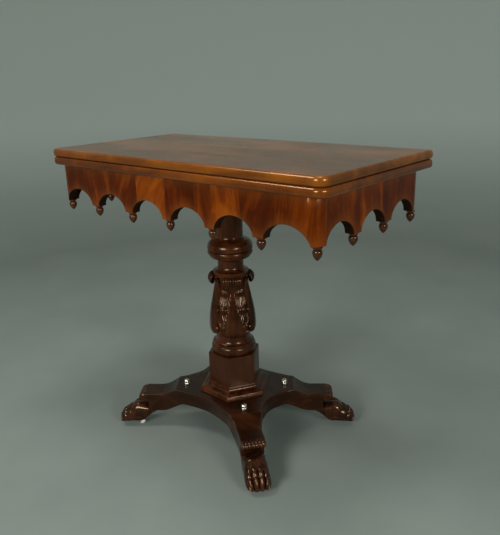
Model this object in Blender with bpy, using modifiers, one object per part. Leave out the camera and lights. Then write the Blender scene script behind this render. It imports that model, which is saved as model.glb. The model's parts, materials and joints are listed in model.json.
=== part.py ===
"""Fold-over tea table with a swivelling top, on a turned and carved pillar.

Metres, +Z up. The origin is on the floor under the middle of the closed top,
and the front of the table faces -Y. The top turns a quarter turn on a pivot
bolt and then unfolds over the frieze; the four paw feet run on casters.
"""
import math

import bmesh
import bpy
from mathutils import Matrix, Vector

# Clearances, cuts and welds
FIT = 0.0003
OVERRUN = 0.020
WELD = 0.00001
OUTLINE_RESOLUTION = 2

# Folding top
HEIGHT = 0.740
TOP_WIDTH = 0.846
TOP_DEPTH = 0.420
LEAF_THICKNESS = 0.0195
LEAF_GAP = 0.0005
SLIDE_GAP = 0.0005
NOSE_DEPTH = 0.0075
TOP_CORNER_RADIUS = 0.024

# Brass butt hinges at the back edge
HINGE_INSET = 0.133
HINGE_LENGTH = 0.060
HINGE_KNUCKLE_RADIUS = 0.0032
HINGE_PIN_RADIUS = 0.0013
HINGE_PLATE_THICKNESS = 0.0018
HINGE_PLATE_HEIGHT = 0.0145
HINGE_SIDE_GAP = 0.0005
HINGE_KNUCKLE_GAP = 0.0004

# Pivot of the swivelling top
PIVOT_PLATE_RADIUS = 0.036
PIVOT_PLATE_THICKNESS = 0.0028
PIVOT_BOLT_RADIUS = 0.006
PIVOT_HEAD_RADIUS = 0.011
PIVOT_HEAD_THICKNESS = 0.0025
PIVOT_NUT_RADIUS = 0.011
PIVOT_NUT_THICKNESS = 0.007
PIVOT_BOLT_PROUD = 0.002

# Frieze frame
FRIEZE_SIDE_OVERHANG = 0.0215
FRIEZE_FRONT_OVERHANG = 0.010
FRIEZE_HEIGHT = 0.093
FRIEZE_THICKNESS = 0.022
FRIEZE_CORNER_RADIUS = 0.030
ARCH_RISE = 0.036
ARCH_FULLNESS = 1.85
ARCH_SEGMENTS = 12
SHOULDER_HALF_WIDTH = 0.013
CORNER_SHOULDER = 0.006
CORNER_PENDANT_INSET = 0.018
FRONT_PENDANT_SPACING_SHARE = 0.337
SIDE_PENDANT_SPACING_SHARE = 0.657

# Rails and boards inside the frieze frame
SWIVEL_RAIL_WIDTH = 0.090
SWIVEL_RAIL_THICKNESS = 0.026
WELL_DEPTH = 0.036
WELL_BOARD_THICKNESS = 0.007
BEARER_WIDTH = 0.120
BEARER_THICKNESS = 0.018

# Turned acorn pendants: radius and drop shares from the shoulder down
PENDANT_RADIUS = 0.0104
PENDANT_DROP = 0.0270
PENDANT_SPIGOT_RADIUS = 0.0040
PENDANT_SPIGOT_LENGTH = 0.012
PENDANT_STEPS = 10
PENDANT_SHARES = ((1.0, 0.0), (1.0, 0.10), (0.72, 0.17), (0.68, 0.30), (0.86, 0.42),
                  (0.80, 0.66), (0.44, 0.90))

# Pillar: radius shares of its nominal radius, height shares of its turned length
PILLAR_RADIUS = 0.0495
PILLAR_NECK = 0.0168
PILLAR_STEPS = 24
PILLAR_TENON_RADIUS = 0.020
PILLAR_FOOT_TENON_RADIUS = 0.018
PILLAR_PROFILE_SHARES = (
    (0.68, 0.845), (0.64, 0.790), (0.72, 0.767), (0.72, 0.748), (0.92, 0.741),
    (1.04, 0.734), (1.11, 0.717), (1.11, 0.695), (1.05, 0.683), (1.09, 0.675), (1.07, 0.656),
    (0.84, 0.638), (0.67, 0.622), (0.63, 0.592), (0.78, 0.573), (0.82, 0.558), (0.92, 0.537),
    (0.92, 0.526), (0.78, 0.512), (0.74, 0.482), (0.76, 0.447), (0.90, 0.330), (1.00, 0.252),
    (1.01, 0.202), (0.94, 0.132), (0.87, 0.092), (0.90, 0.073), (1.07, 0.061), (1.14, 0.046),
    (1.14, 0.034), (1.10, 0.024), (1.14, 0.012), (1.14, 0.0))

# Carved leaves: path radius and height shares, then half width and thickness shares
LEAF_COUNT = 4
LEAF_FIRST_ANGLE = math.radians(45)
LEAF_CROWN_SHARE = 0.11
LEAF_PATH_SHARES = (
    (1.13, 0.142, 0.42, 0.10), (1.18, 0.172, 0.72, 0.22), (1.18, 0.207, 0.84, 0.26),
    (1.16, 0.242, 0.86, 0.26), (1.08, 0.302, 0.80, 0.24), (0.99, 0.352, 0.72, 0.22),
    (0.93, 0.397, 0.62, 0.20), (0.91, 0.447, 0.52, 0.18), (0.96, 0.478, 0.46, 0.14),
    (1.02, 0.494, 0.46, 0.11), (1.06, 0.502, 0.44, 0.09), (1.085, 0.497, 0.38, 0.07),
    (1.08, 0.478, 0.26, 0.05))
LEAF_ACROSS_SHARES = (-1.0, -0.5, 0.0, 0.5, 1.0)

# Hexagonal plinth block and its moulding
PLINTH_RADIUS = 0.069
PLINTH_HEIGHT = 0.104
PLINTH_SIDES = 6
MOULDING_SPREAD = 0.030
MOULDING_HEIGHT = 0.024
MOULDING_SHARES = ((0.16, 1.0), (0.17, 0.88), (0.21, 0.72), (0.30, 0.62), (0.40, 0.55),
                   (0.45, 0.47), (0.55, 0.52), (0.68, 0.50), (0.80, 0.40), (0.87, 0.26),
                   (0.88, 0.17), (1.0, 0.12), (1.0, 0.0))

# Four-armed platform
PLATFORM_TOP = 0.117
PLATFORM_THICKNESS = 0.038
ARM_ANGLE = math.radians(38.3)
ARM_LENGTH = 0.246
ARM_WAIST = 0.0295
ARM_WAIST_SHARE = 0.78
ARM_END_HALF_WIDTH = 0.029
ARM_LIP = 0.0145
ARM_LIP_THICKNESS = 0.0185
ARM_DROP = 0.0175
ARM_BREAK_SHARE = 0.634
ARM_SLOPE_RUN = 0.046
ARM_UNDERSIDE = 0.050
ARM_STEP_SHARE = 0.7886
ARM_STEP = 0.0015
ARM_SPRING_RUN = 0.066
PLATFORM_FRONT_WAIST = 0.107
PLATFORM_SIDE_WAIST = 0.122
ARM_APPROACH_SHARE = 0.634
ARM_APPROACH = 0.039
ARM_LIP_CORNER_SHARES = (0.45, 0.92)
ARM_SLOPE_SHARES = ((0.2, 0.20), (0.5, 0.62), (0.8, 0.92), (1.0, 1.0))
ARM_LIP_TOP_SHARES = ((1.1, 0.0), (0.55, 0.10), (0.18, 0.28), (0.0, 0.52))
ARM_LIP_UNDER_SHARES = ((0.0, 0.0), (0.45, 0.02), (0.8, 0.16), (1.0, 0.42))
ARM_SPRING_SHARES = ((0.0, 0.0), (0.25, 0.12), (0.5, 0.42), (0.72, 0.74), (1.0, 1.0))

# Lion-paw feet, along the arm from the heel to the toes: place, top, underside and
# half width as shares of the paw's length, height and half width
PAW_BACK = 0.034
PAW_LENGTH = 0.0735
PAW_HEIGHT = 0.068
PAW_HALF_WIDTH = 0.030
PAW_HEEL_SHARES = ((0.0, 0.71, 0.84), (0.35, 0.59, 0.90), (0.70, 0.43, 0.94), (1.0, 0.30, 0.95))
PAW_TOE_SHARES = ((0.0, 0.985, 0.29, 0.93), (0.14, 1.0, 0.20, 0.95), (0.32, 0.985, 0.185, 0.97),
                  (0.46, 0.90, 0.18, 0.99), (0.57, 0.80, 0.18, 1.0), (0.66, 0.65, 0.18, 0.99),
                  (0.78, 0.60, 0.18, 0.98), (0.89, 0.50, 0.18, 0.93), (0.96, 0.38, 0.185, 0.86),
                  (1.0, 0.27, 0.20, 0.78))
PAW_BOW = 0.005
PAW_TOES = 4
PAW_TOE_SEGMENTS = 4
PAW_GROOVE_SHARE = 0.09
PAW_GROOVE_RUN_SHARE = 0.45
PAW_ROUNDNESS = 2.2

# Brass studs on the arms: radius and height shares from the crown down
STUD_PLACE_SHARE = 0.5345
STUD_RADIUS = 0.0080
STUD_HEIGHT = 0.0120
STUD_SPIGOT_RADIUS = 0.003
STUD_SPIGOT_LENGTH = 0.010
STUD_STEPS = 12
STUD_SHARES = ((0.47, 0.95), (0.80, 0.74), (0.89, 0.50), (0.74, 0.26), (1.0, 0.14), (1.0, 0.0))

# Concealed casters
CASTER_BEYOND_ARM = 0.022
CASTER_TRAIL = 0.012
CASTER_RECESS_RADIUS = 0.0240
CASTER_RECESS_TOP = 0.0300
CASTER_WHEEL_RADIUS = 0.0105
CASTER_WHEEL_WIDTH = 0.008
CASTER_WHEEL_EASE = 0.0009
CASTER_WHEEL_SIDES = 20
CASTER_STEPS = 14
CASTER_CROWN_RADIUS = 0.0105
CASTER_CROWN_THICKNESS = 0.003
CASTER_STEM_RADIUS = 0.004
CASTER_STEM_LENGTH = 0.020
CASTER_CHEEK_THICKNESS = 0.002
CASTER_CHEEK_RADIUS = 0.0042
CASTER_CHEEK_REACH_SHARES = (0.75, -0.50)
CASTER_AXLE_RADIUS = 0.0015
CASTER_AXLE_PROUD = 0.0006
CASTER_SIDE_GAP = 0.0004
CASTER_DIRECTIONS = {"front_left": -12.0, "front_right": 130.0, "back_right": 80.0,
                     "back_left": 200.0}

# Heights and places that follow from the sizes above
UPPER_LEAF_BOTTOM = HEIGHT - LEAF_THICKNESS
LOWER_LEAF_TOP = UPPER_LEAF_BOTTOM - LEAF_GAP
LOWER_LEAF_BOTTOM = LOWER_LEAF_TOP - LEAF_THICKNESS
FRIEZE_TOP = LOWER_LEAF_BOTTOM - SLIDE_GAP
FRIEZE_BOTTOM = FRIEZE_TOP - FRIEZE_HEIGHT
HINGE_AXIS_OUT = FIT
BARREL_OUT = HINGE_AXIS_OUT + HINGE_KNUCKLE_RADIUS
LEAF_BACK = TOP_DEPTH / 2 - BARREL_OUT / 2
LEAF_FRONT = LEAF_BACK - TOP_DEPTH
HINGE_Y = LEAF_BACK + HINGE_AXIS_OUT
HINGE_Z = UPPER_LEAF_BOTTOM - LEAF_GAP / 2
PIVOT = HINGE_Y / 2
FOLD_CENTRE = (0.0, HINGE_Y, HINGE_Z)
PIVOT_CENTRE = (PIVOT, PIVOT, FRIEZE_TOP)
FRIEZE_X = TOP_WIDTH / 2 - FRIEZE_SIDE_OVERHANG
FRIEZE_Y = TOP_DEPTH / 2 - FRIEZE_FRONT_OVERHANG
CORNER_X = FRIEZE_X - FRIEZE_CORNER_RADIUS
CORNER_Y = FRIEZE_Y - FRIEZE_CORNER_RADIUS
PENDANT_FRONT_Y = FRIEZE_Y - FRIEZE_THICKNESS / 2
PENDANT_SIDE_X = FRIEZE_X - FRIEZE_THICKNESS / 2
PENDANT_CORNER_Y = FRIEZE_Y - CORNER_PENDANT_INSET
FRONT_PENDANT_SPACING = PENDANT_SIDE_X * FRONT_PENDANT_SPACING_SHARE
SIDE_PENDANT_SPACING = PENDANT_CORNER_Y * SIDE_PENDANT_SPACING_SHARE
WELL_BOARD_TOP = FRIEZE_TOP - WELL_DEPTH
WELL_BOARD_BOTTOM = WELL_BOARD_TOP - WELL_BOARD_THICKNESS
BEARER_TOP = WELL_BOARD_BOTTOM - FIT
BEARER_BOTTOM = BEARER_TOP - BEARER_THICKNESS
PLINTH_TOP = PLATFORM_TOP + FIT + PLINTH_HEIGHT
PILLAR_BOTTOM = PLINTH_TOP + FIT
PILLAR_TOP = BEARER_BOTTOM - FIT
PILLAR_TURNED_HEIGHT = PILLAR_TOP - PILLAR_NECK - PILLAR_BOTTOM
ARM_TOP = PLATFORM_TOP - ARM_DROP
ARM_WAIST_AT = ARM_LENGTH * ARM_WAIST_SHARE
ARM_BREAK = ARM_LENGTH * ARM_BREAK_SHARE
ARM_STEP_AT = ARM_LENGTH * ARM_STEP_SHARE
ARM_APPROACH_AT = ARM_LENGTH * ARM_APPROACH_SHARE
STUD_PLACE = ARM_LENGTH * STUD_PLACE_SHARE
CASTER_PLACE = ARM_LENGTH + CASTER_BEYOND_ARM
WHEEL_AXIS_Z = CASTER_WHEEL_RADIUS * math.cos(math.pi / CASTER_WHEEL_SIDES)

ARMS = {"front_right": (1, -1), "back_right": (1, 1), "back_left": (-1, 1), "front_left": (-1, -1)}


def clear_scene():
    for item in list(bpy.data.objects):
        bpy.data.objects.remove(item, do_unlink=True)


def make_collection(name):
    collection = bpy.data.collections.new(name)
    bpy.context.scene.collection.children.link(collection)
    return collection


def make_material(name, colour, roughness, metallic=0.0):
    material = bpy.data.materials.new(name)
    material.use_nodes = True
    shader = material.node_tree.nodes["Principled BSDF"]
    shader.inputs["Base Color"].default_value = (*colour, 1.0)
    shader.inputs["Roughness"].default_value = roughness
    shader.inputs["Metallic"].default_value = metallic
    return material


clear_scene()
TABLE = make_collection("tea_table")
CUTTERS = make_collection("cutters")
POLISHED = make_material("polished_mahogany", (0.26, 0.10, 0.04), 0.18)
VENEER = make_material("mahogany_veneer", (0.32, 0.12, 0.03), 0.25)
DARK = make_material("dark_mahogany", (0.09, 0.030, 0.015), 0.22)
INNER_WOOD = make_material("inner_pine", (0.45, 0.30, 0.16), 0.7)
BRASS = make_material("brass", (0.78, 0.62, 0.30), 0.3, 1.0)
STEEL = make_material("steel", (0.45, 0.45, 0.45), 0.4, 1.0)
CHINA = make_material("white_china", (0.85, 0.85, 0.80), 0.25)


def add_object(name, mesh, material=None):
    """Link a mesh as a part, or as a hidden cutter where it has no material."""
    item = bpy.data.objects.new(name, mesh)
    if material is None:
        CUTTERS.objects.link(item)
        item.hide_render = True
        item.display_type = "WIRE"
    else:
        TABLE.objects.link(item)
        mesh.materials.clear()
        mesh.materials.append(material)
    return item


def smooth(item, angle=35.0):
    item.data.shade_smooth()
    item.data.set_sharp_from_angle(angle=math.radians(angle))
    return item


def box(name, low, high, material=None):
    shape = bmesh.new()
    size = [b - a for a, b in zip(low, high)]
    centre = [(a + b) / 2 for a, b in zip(low, high)]
    place = Matrix.Translation(centre) @ Matrix.Diagonal((*size, 1.0))
    bmesh.ops.create_cube(shape, size=1.0, matrix=place)
    mesh = bpy.data.meshes.new(name)
    shape.to_mesh(mesh)
    shape.free()
    return add_object(name, mesh, material)


def cylinders(name, places, radius, length, material=None, sides=20, turn=None):
    """One mesh of separate upright cylinders, or lying ones where turn says how."""
    shape = bmesh.new()
    for place in places:
        matrix = Matrix.Translation(place)
        if turn is not None:
            matrix = matrix @ turn
        bmesh.ops.create_cone(shape, cap_ends=True, segments=sides, radius1=radius, radius2=radius,
                              depth=length, matrix=matrix)
    mesh = bpy.data.meshes.new(name)
    shape.to_mesh(mesh)
    shape.free()
    return add_object(name, mesh, material)


def bores(name, places, radius, length, sides=20, turn=None):
    """Cutters for holes whose flats clear a round piece of the given radius."""
    clear = (radius + FIT) / math.cos(math.pi / sides)
    return cylinders(name, places, clear, length, sides=sides, turn=turn)


def curve_to_mesh(item, name, material=None):
    """Turn a curve object into a welded mesh object in the same place."""
    bpy.context.view_layer.update()
    evaluated = item.evaluated_get(bpy.context.evaluated_depsgraph_get())
    mesh = bpy.data.meshes.new_from_object(evaluated)
    mesh.transform(item.matrix_world)
    mesh.name = name
    shape = bmesh.new()
    shape.from_mesh(mesh)
    bmesh.ops.remove_doubles(shape, verts=shape.verts, dist=WELD)
    bmesh.ops.recalc_face_normals(shape, faces=shape.faces)
    shape.to_mesh(mesh)
    shape.free()
    bpy.data.objects.remove(item, do_unlink=True)
    return add_object(name, mesh, material)


def slab(name, outlines, low, high, material=None, nose=0.0, matrix=None, bezier=False):
    """Flat outlines given thickness from low to high, with an optional round nose."""
    curve = bpy.data.curves.new(name, "CURVE")
    curve.dimensions = "2D"
    curve.fill_mode = "BOTH"
    curve.extrude = (high - low) / 2 - nose
    curve.bevel_depth = nose
    curve.bevel_resolution = 1
    curve.resolution_u = OUTLINE_RESOLUTION
    for points in outlines:
        if bezier:
            spline = curve.splines.new("BEZIER")
            spline.bezier_points.add(len(points) - 1)
            for knot, (x, y) in zip(spline.bezier_points, points):
                knot.co = (x, y, 0.0)
                knot.handle_left_type = "AUTO"
                knot.handle_right_type = "AUTO"
        else:
            spline = curve.splines.new("POLY")
            spline.points.add(len(points) - 1)
            for point, (x, y) in zip(spline.points, points):
                point.co = (x, y, 0.0, 1.0)
        spline.use_cyclic_u = True
    item = bpy.data.objects.new(name + "_curve", curve)
    bpy.context.scene.collection.objects.link(item)
    lift = Matrix.Translation((0.0, 0.0, (low + high) / 2))
    item.matrix_world = lift if matrix is None else matrix @ lift
    return curve_to_mesh(item, name, material)


def turned(name, profile, material, steps, place=(0.0, 0.0, 0.0), closed=False, turn=0.0):
    """Spin a profile of (radius, height) points, top to bottom, about the upright axis."""
    mesh = bpy.data.meshes.new(name)
    edges = [(i, i + 1) for i in range(len(profile) - 1)]
    if closed:
        edges.append((len(profile) - 1, 0))
    mesh.from_pydata([(radius, 0.0, height) for radius, height in profile], edges, [])
    item = add_object(name, mesh, material)
    item.location = place
    item.rotation_euler.z = turn
    screw = item.modifiers.new("turn", "SCREW")
    screw.steps = steps
    screw.render_steps = steps
    screw.use_merge_vertices = True
    screw.merge_threshold = WELD
    screw.use_smooth_shade = steps > PLINTH_SIDES
    return item


def settle(item):
    """Apply the modifiers and the place, so the piece can be cut or joined."""
    bpy.context.view_layer.update()
    evaluated = item.evaluated_get(bpy.context.evaluated_depsgraph_get())
    mesh = bpy.data.meshes.new_from_object(evaluated)
    mesh.transform(item.matrix_world)
    shape = bmesh.new()
    shape.from_mesh(mesh)
    bmesh.ops.remove_doubles(shape, verts=shape.verts, dist=WELD)
    bmesh.ops.recalc_face_normals(shape, faces=shape.faces)
    shape.to_mesh(mesh)
    shape.free()
    item.modifiers.clear()
    item.data = mesh
    item.matrix_world = Matrix.Identity(4)
    return item


def combine(item, other, operation):
    modifier = item.modifiers.new(operation.lower(), "BOOLEAN")
    modifier.operation = operation
    modifier.solver = "EXACT"
    modifier.object = other


def cut(item, *cutters):
    for cutter in cutters:
        combine(item, cutter, "DIFFERENCE")
    return item


def join(item, *others):
    """Join overlapping solids into one, leaving the added shapes as hidden guides."""
    for other in others:
        combine(item, other, "UNION")
    return settle(item)


def seat(place, *items):
    """Put the origin of moving pieces on their joint's axis; the pieces stay where they are."""
    for item in items:
        item.data.transform(Matrix.Translation(place).inverted() @ item.matrix_world)
        item.matrix_world = Matrix.Translation(place)


def loft(name, rings, material=None):
    """Skin a row of closed sections that have the same number of points."""
    shape = bmesh.new()
    rows = [[shape.verts.new(point) for point in ring] for ring in rings]
    for low, high in zip(rows, rows[1:]):
        for i in range(len(low)):
            j = (i + 1) % len(low)
            shape.faces.new((low[i], low[j], high[j], high[i]))
    shape.faces.new(rows[0])
    shape.faces.new(rows[-1])
    bmesh.ops.recalc_face_normals(shape, faces=shape.faces)
    mesh = bpy.data.meshes.new(name)
    shape.to_mesh(mesh)
    shape.free()
    return add_object(name, mesh, material)


def arc(centre_x, centre_y, radius, start, stop, segments):
    """Points on an arc, angles in degrees."""
    angles = [math.radians(start + (stop - start) * i / segments) for i in range(segments + 1)]
    return [(centre_x + radius * math.cos(a), centre_y + radius * math.sin(a)) for a in angles]


def along_arm(arm, place, across=0.0, height=0.0):
    """A point given by its distance along an arm, across it and above the floor."""
    side_x, side_y = ARMS[arm]
    forward = Vector((side_x * math.cos(ARM_ANGLE), side_y * math.sin(ARM_ANGLE), 0.0))
    sideways = Vector((-forward.y, forward.x, 0.0))
    return forward * place + sideways * across + Vector((0.0, 0.0, height))


def arm_matrix(arm):
    side_x, side_y = ARMS[arm]
    angle = math.atan2(side_y * math.sin(ARM_ANGLE), side_x * math.cos(ARM_ANGLE))
    return Matrix.Rotation(angle, 4, "Z")


# Top: two leaves of one outline, square at the back where they are hinged
def leaf_outline():
    right = TOP_WIDTH / 2 - NOSE_DEPTH
    front = LEAF_FRONT + NOSE_DEPTH
    corner = TOP_CORNER_RADIUS - NOSE_DEPTH
    points = arc(right - corner, front + corner, corner, -90, 0, 6)
    points.append((right, LEAF_BACK + OVERRUN))
    return points + [(-x, y) for x, y in reversed(points)]


def make_leaf(name, low, high, cutters):
    leaf = slab(name, [leaf_outline()], low, high, POLISHED, nose=NOSE_DEPTH)
    cut(leaf, *cutters)
    return smooth(settle(leaf))


def hinge_places():
    out = TOP_WIDTH / 2 - HINGE_INSET
    return {"left": -out, "right": out}


def make_top():
    back = box("leaf_back_cut", (-TOP_WIDTH, LEAF_BACK, LOWER_LEAF_BOTTOM - OVERRUN),
               (TOP_WIDTH, LEAF_BACK + TOP_DEPTH, HEIGHT + OVERRUN))
    cutters = [back]
    half = HINGE_LENGTH / 2 + FIT
    lie = Matrix.Rotation(math.radians(90), 4, "Y")
    for side, x in hinge_places().items():
        reach = HINGE_PLATE_HEIGHT + FIT
        cutters.append(box("hinge_recess_" + side,
                           (x - half, LEAF_BACK - HINGE_PLATE_THICKNESS - FIT, HINGE_Z - reach),
                           (x + half, LEAF_BACK + OVERRUN, HINGE_Z + reach)))
        cutters.append(cylinders("knuckle_recess_" + side, [(x, HINGE_Y, HINGE_Z)],
                                 HINGE_KNUCKLE_RADIUS + HINGE_KNUCKLE_GAP, half * 2, turn=lie))
    upper = make_leaf("upper_leaf", UPPER_LEAF_BOTTOM, HEIGHT, cutters)
    seat(FOLD_CENTRE, upper)
    plate_recess = bores("pivot_plate_recess", [(PIVOT, PIVOT, LOWER_LEAF_BOTTOM)], PIVOT_PLATE_RADIUS,
                         2 * (PIVOT_PLATE_THICKNESS + FIT), sides=24)
    head_depth = PIVOT_PLATE_THICKNESS + PIVOT_HEAD_THICKNESS + 2 * FIT
    head_recess = bores("pivot_head_recess", [(PIVOT, PIVOT, LOWER_LEAF_BOTTOM)], PIVOT_HEAD_RADIUS,
                        2 * head_depth)
    lower = make_leaf("lower_leaf", LOWER_LEAF_BOTTOM, LOWER_LEAF_TOP,
                      cutters + [plate_recess, head_recess])
    seat(PIVOT_CENTRE, lower)


def make_hinge(side, x):
    third = HINGE_LENGTH / 3
    gap = HINGE_SIDE_GAP / 2
    lie = Matrix.Rotation(math.radians(90), 4, "Y")
    outer = third - gap
    spans = {"lower": [(-HINGE_LENGTH / 2, -HINGE_LENGTH / 2 + outer),
                       (HINGE_LENGTH / 2 - outer, HINGE_LENGTH / 2)],
             "upper": [(-third / 2 + gap, third / 2 - gap)]}
    bore = bores("hinge_bore_" + side, [(x, HINGE_Y, HINGE_Z)], HINGE_PIN_RADIUS, HINGE_LENGTH + OVERRUN,
                 sides=10, turn=lie)
    for half, sign, home in (("lower", -1, PIVOT_CENTRE), ("upper", 1, FOLD_CENTRE)):
        name = "hinge_" + half + "_plate_" + side
        near = HINGE_Z + sign * (HINGE_KNUCKLE_RADIUS + HINGE_KNUCKLE_GAP)
        far = HINGE_Z + sign * HINGE_PLATE_HEIGHT
        plate = box(name, (x - HINGE_LENGTH / 2, LEAF_BACK - HINGE_PLATE_THICKNESS, min(near, far)),
                    (x + HINGE_LENGTH / 2, LEAF_BACK, max(near, far)), BRASS)
        extras = []
        for number, (start, stop) in enumerate(spans[half]):
            mark = name + "_" + str(number)
            inner = HINGE_Z + sign * HINGE_PIN_RADIUS
            overlap = near + sign * HINGE_KNUCKLE_RADIUS
            extras.append(box(mark + "_tab",
                              (x + start, LEAF_BACK - HINGE_PLATE_THICKNESS + FIT, min(inner, overlap)),
                              (x + stop, LEAF_BACK - FIT, max(inner, overlap))))
            extras.append(cylinders(mark + "_knuckle", [(x + (start + stop) / 2, HINGE_Y, HINGE_Z)],
                                    HINGE_KNUCKLE_RADIUS, stop - start, sides=16, turn=lie))
        join(plate, *extras)
        seat(home, smooth(settle(cut(plate, bore))))
    pin = cylinders("hinge_pin_" + side, [(x, HINGE_Y, HINGE_Z)], HINGE_PIN_RADIUS, HINGE_LENGTH,
                    STEEL, sides=10, turn=lie)
    seat(PIVOT_CENTRE, smooth(pin))


def make_pivot():
    bore = bores("pivot_bore", [(PIVOT, PIVOT, FRIEZE_TOP)], PIVOT_BOLT_RADIUS, 2 * FRIEZE_HEIGHT)
    plate = cylinders("pivot_plate", [(PIVOT, PIVOT, LOWER_LEAF_BOTTOM + PIVOT_PLATE_THICKNESS / 2)],
                      PIVOT_PLATE_RADIUS, PIVOT_PLATE_THICKNESS, STEEL, sides=24)
    seat(PIVOT_CENTRE, smooth(settle(cut(plate, bore))))
    head_bottom = LOWER_LEAF_BOTTOM + PIVOT_PLATE_THICKNESS + FIT
    head_top = head_bottom + PIVOT_HEAD_THICKNESS
    nut_top = FRIEZE_TOP - SWIVEL_RAIL_THICKNESS - FIT
    nut_bottom = nut_top - PIVOT_NUT_THICKNESS
    bolt_bottom = nut_bottom - PIVOT_BOLT_PROUD
    profile = [(0.0, head_top), (PIVOT_HEAD_RADIUS, head_top), (PIVOT_HEAD_RADIUS, head_bottom),
               (PIVOT_BOLT_RADIUS, head_bottom), (PIVOT_BOLT_RADIUS, bolt_bottom), (0.0, bolt_bottom)]
    bolt = turned("pivot_bolt", profile, STEEL, 20, place=(PIVOT, PIVOT, 0.0))
    seat(PIVOT_CENTRE, settle(bolt))
    nut = cylinders("pivot_nut", [(PIVOT, PIVOT, (nut_top + nut_bottom) / 2)], PIVOT_NUT_RADIUS,
                    PIVOT_NUT_THICKNESS, STEEL, sides=6)
    seat(PIVOT_CENTRE, settle(cut(nut, bore)))
    return bore


# Frieze: boards cut in arches between the pendants
def arch_outline(start, stop):
    """A flattened arch that springs from the shoulders at its two ends."""
    half = (stop - start) / 2
    middle = (start + stop) / 2
    points = [(middle + half, FRIEZE_BOTTOM - OVERRUN)]
    for i in range(ARCH_SEGMENTS + 1):
        angle = math.pi * i / ARCH_SEGMENTS
        reach = abs(math.cos(angle)) ** (2 / ARCH_FULLNESS)
        rise = math.sin(angle) ** (2 / ARCH_FULLNESS) if 0 < i < ARCH_SEGMENTS else 0.0
        across = math.copysign(half * reach, math.cos(angle))
        points.append((middle + across, FRIEZE_BOTTOM + ARCH_RISE * rise))
    points.append((middle - half, FRIEZE_BOTTOM - OVERRUN))
    return points


def arches_between(stations, end_shoulder):
    """An arch for each pair of pendants, with its own shoulder at the row's ends."""
    shoulders = [SHOULDER_HALF_WIDTH] * len(stations)
    shoulders[0] = shoulders[-1] = end_shoulder
    return [arch_outline(stations[i] + shoulders[i], stations[i + 1] - shoulders[i + 1])
            for i in range(len(stations) - 1)]


def front_stations():
    inner = [FRONT_PENDANT_SPACING * i for i in (-2, -1, 0, 1, 2)]
    return [-PENDANT_SIDE_X] + inner + [PENDANT_SIDE_X]


def side_stations():
    half = SIDE_PENDANT_SPACING / 2
    return [-PENDANT_CORNER_Y, -half, half, PENDANT_CORNER_Y]


def pendant_places():
    places = {}
    names = ("corner_left", "far_left", "mid_left", "centre", "mid_right", "far_right", "corner_right")
    for face, sign in (("front", -1), ("back", 1)):
        for name, x in zip(names, front_stations()):
            corner = name.startswith("corner")
            y = PENDANT_CORNER_Y if corner else PENDANT_FRONT_Y
            places[face + "_" + name] = (x, sign * y)
    for face, sign in (("left", -1), ("right", 1)):
        for end, y in zip(("front", "back"), side_stations()[1:3]):
            places[face + "_" + end] = (sign * PENDANT_SIDE_X, y)
    return places


def front_board_outline(sign):
    outer = arc(CORNER_X, CORNER_Y, FRIEZE_CORNER_RADIUS, 0, 90, 6)
    inner = arc(CORNER_X, CORNER_Y, FRIEZE_CORNER_RADIUS - FRIEZE_THICKNESS, 90, 0, 3)
    points = outer + [(-x, y) for x, y in reversed(outer)]
    points += [(-x, y) for x, y in reversed(inner)] + inner
    return [(x, sign * y) for x, y in points]


def make_frieze():
    stand = Matrix.Rotation(math.radians(90), 4, "X")
    turn = Matrix.Rotation(math.radians(90), 4, "Z")
    reach = FRIEZE_THICKNESS + FRIEZE_CORNER_RADIUS
    front_arches = arches_between(front_stations(), CORNER_SHOULDER)
    side_arches = arches_between(side_stations(), SHOULDER_HALF_WIDTH)
    spigots = bores("spigot_bores", [(x, y, FRIEZE_BOTTOM) for x, y in pendant_places().values()],
                    PENDANT_SPIGOT_RADIUS, 2 * (PENDANT_SPIGOT_LENGTH + FIT), sides=PENDANT_STEPS)
    for name, sign in (("front_frieze", -1), ("back_frieze", 1)):
        board = slab(name, [front_board_outline(sign)], FRIEZE_BOTTOM, FRIEZE_TOP, VENEER)
        centre = sign * FRIEZE_Y
        arches = slab(name + "_arches", front_arches, -centre - reach, -centre + reach, matrix=stand)
        smooth(settle(cut(board, arches, spigots)), 25.0)
    for name, sign in (("left_frieze", -1), ("right_frieze", 1)):
        outer, inner = sign * FRIEZE_X, sign * (FRIEZE_X - FRIEZE_THICKNESS)
        board = box(name, (min(outer, inner), -CORNER_Y + FIT, FRIEZE_BOTTOM),
                    (max(outer, inner), CORNER_Y - FIT, FRIEZE_TOP), VENEER)
        arches = slab(name + "_arches", side_arches, outer - reach, outer + reach, matrix=turn @ stand)
        smooth(settle(cut(board, arches, spigots)), 25.0)


def make_pendants():
    profile = [(PENDANT_RADIUS * r, -PENDANT_DROP * d - FIT) for r, d in PENDANT_SHARES]
    spigot = [(0.0, PENDANT_SPIGOT_LENGTH), (PENDANT_SPIGOT_RADIUS, PENDANT_SPIGOT_LENGTH),
              (PENDANT_SPIGOT_RADIUS, -FIT)]
    for name, (x, y) in pendant_places().items():
        turned("pendant_" + name, spigot + profile + [(0.0, -PENDANT_DROP - FIT)], VENEER,
               PENDANT_STEPS, place=(x, y, FRIEZE_BOTTOM))


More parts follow.
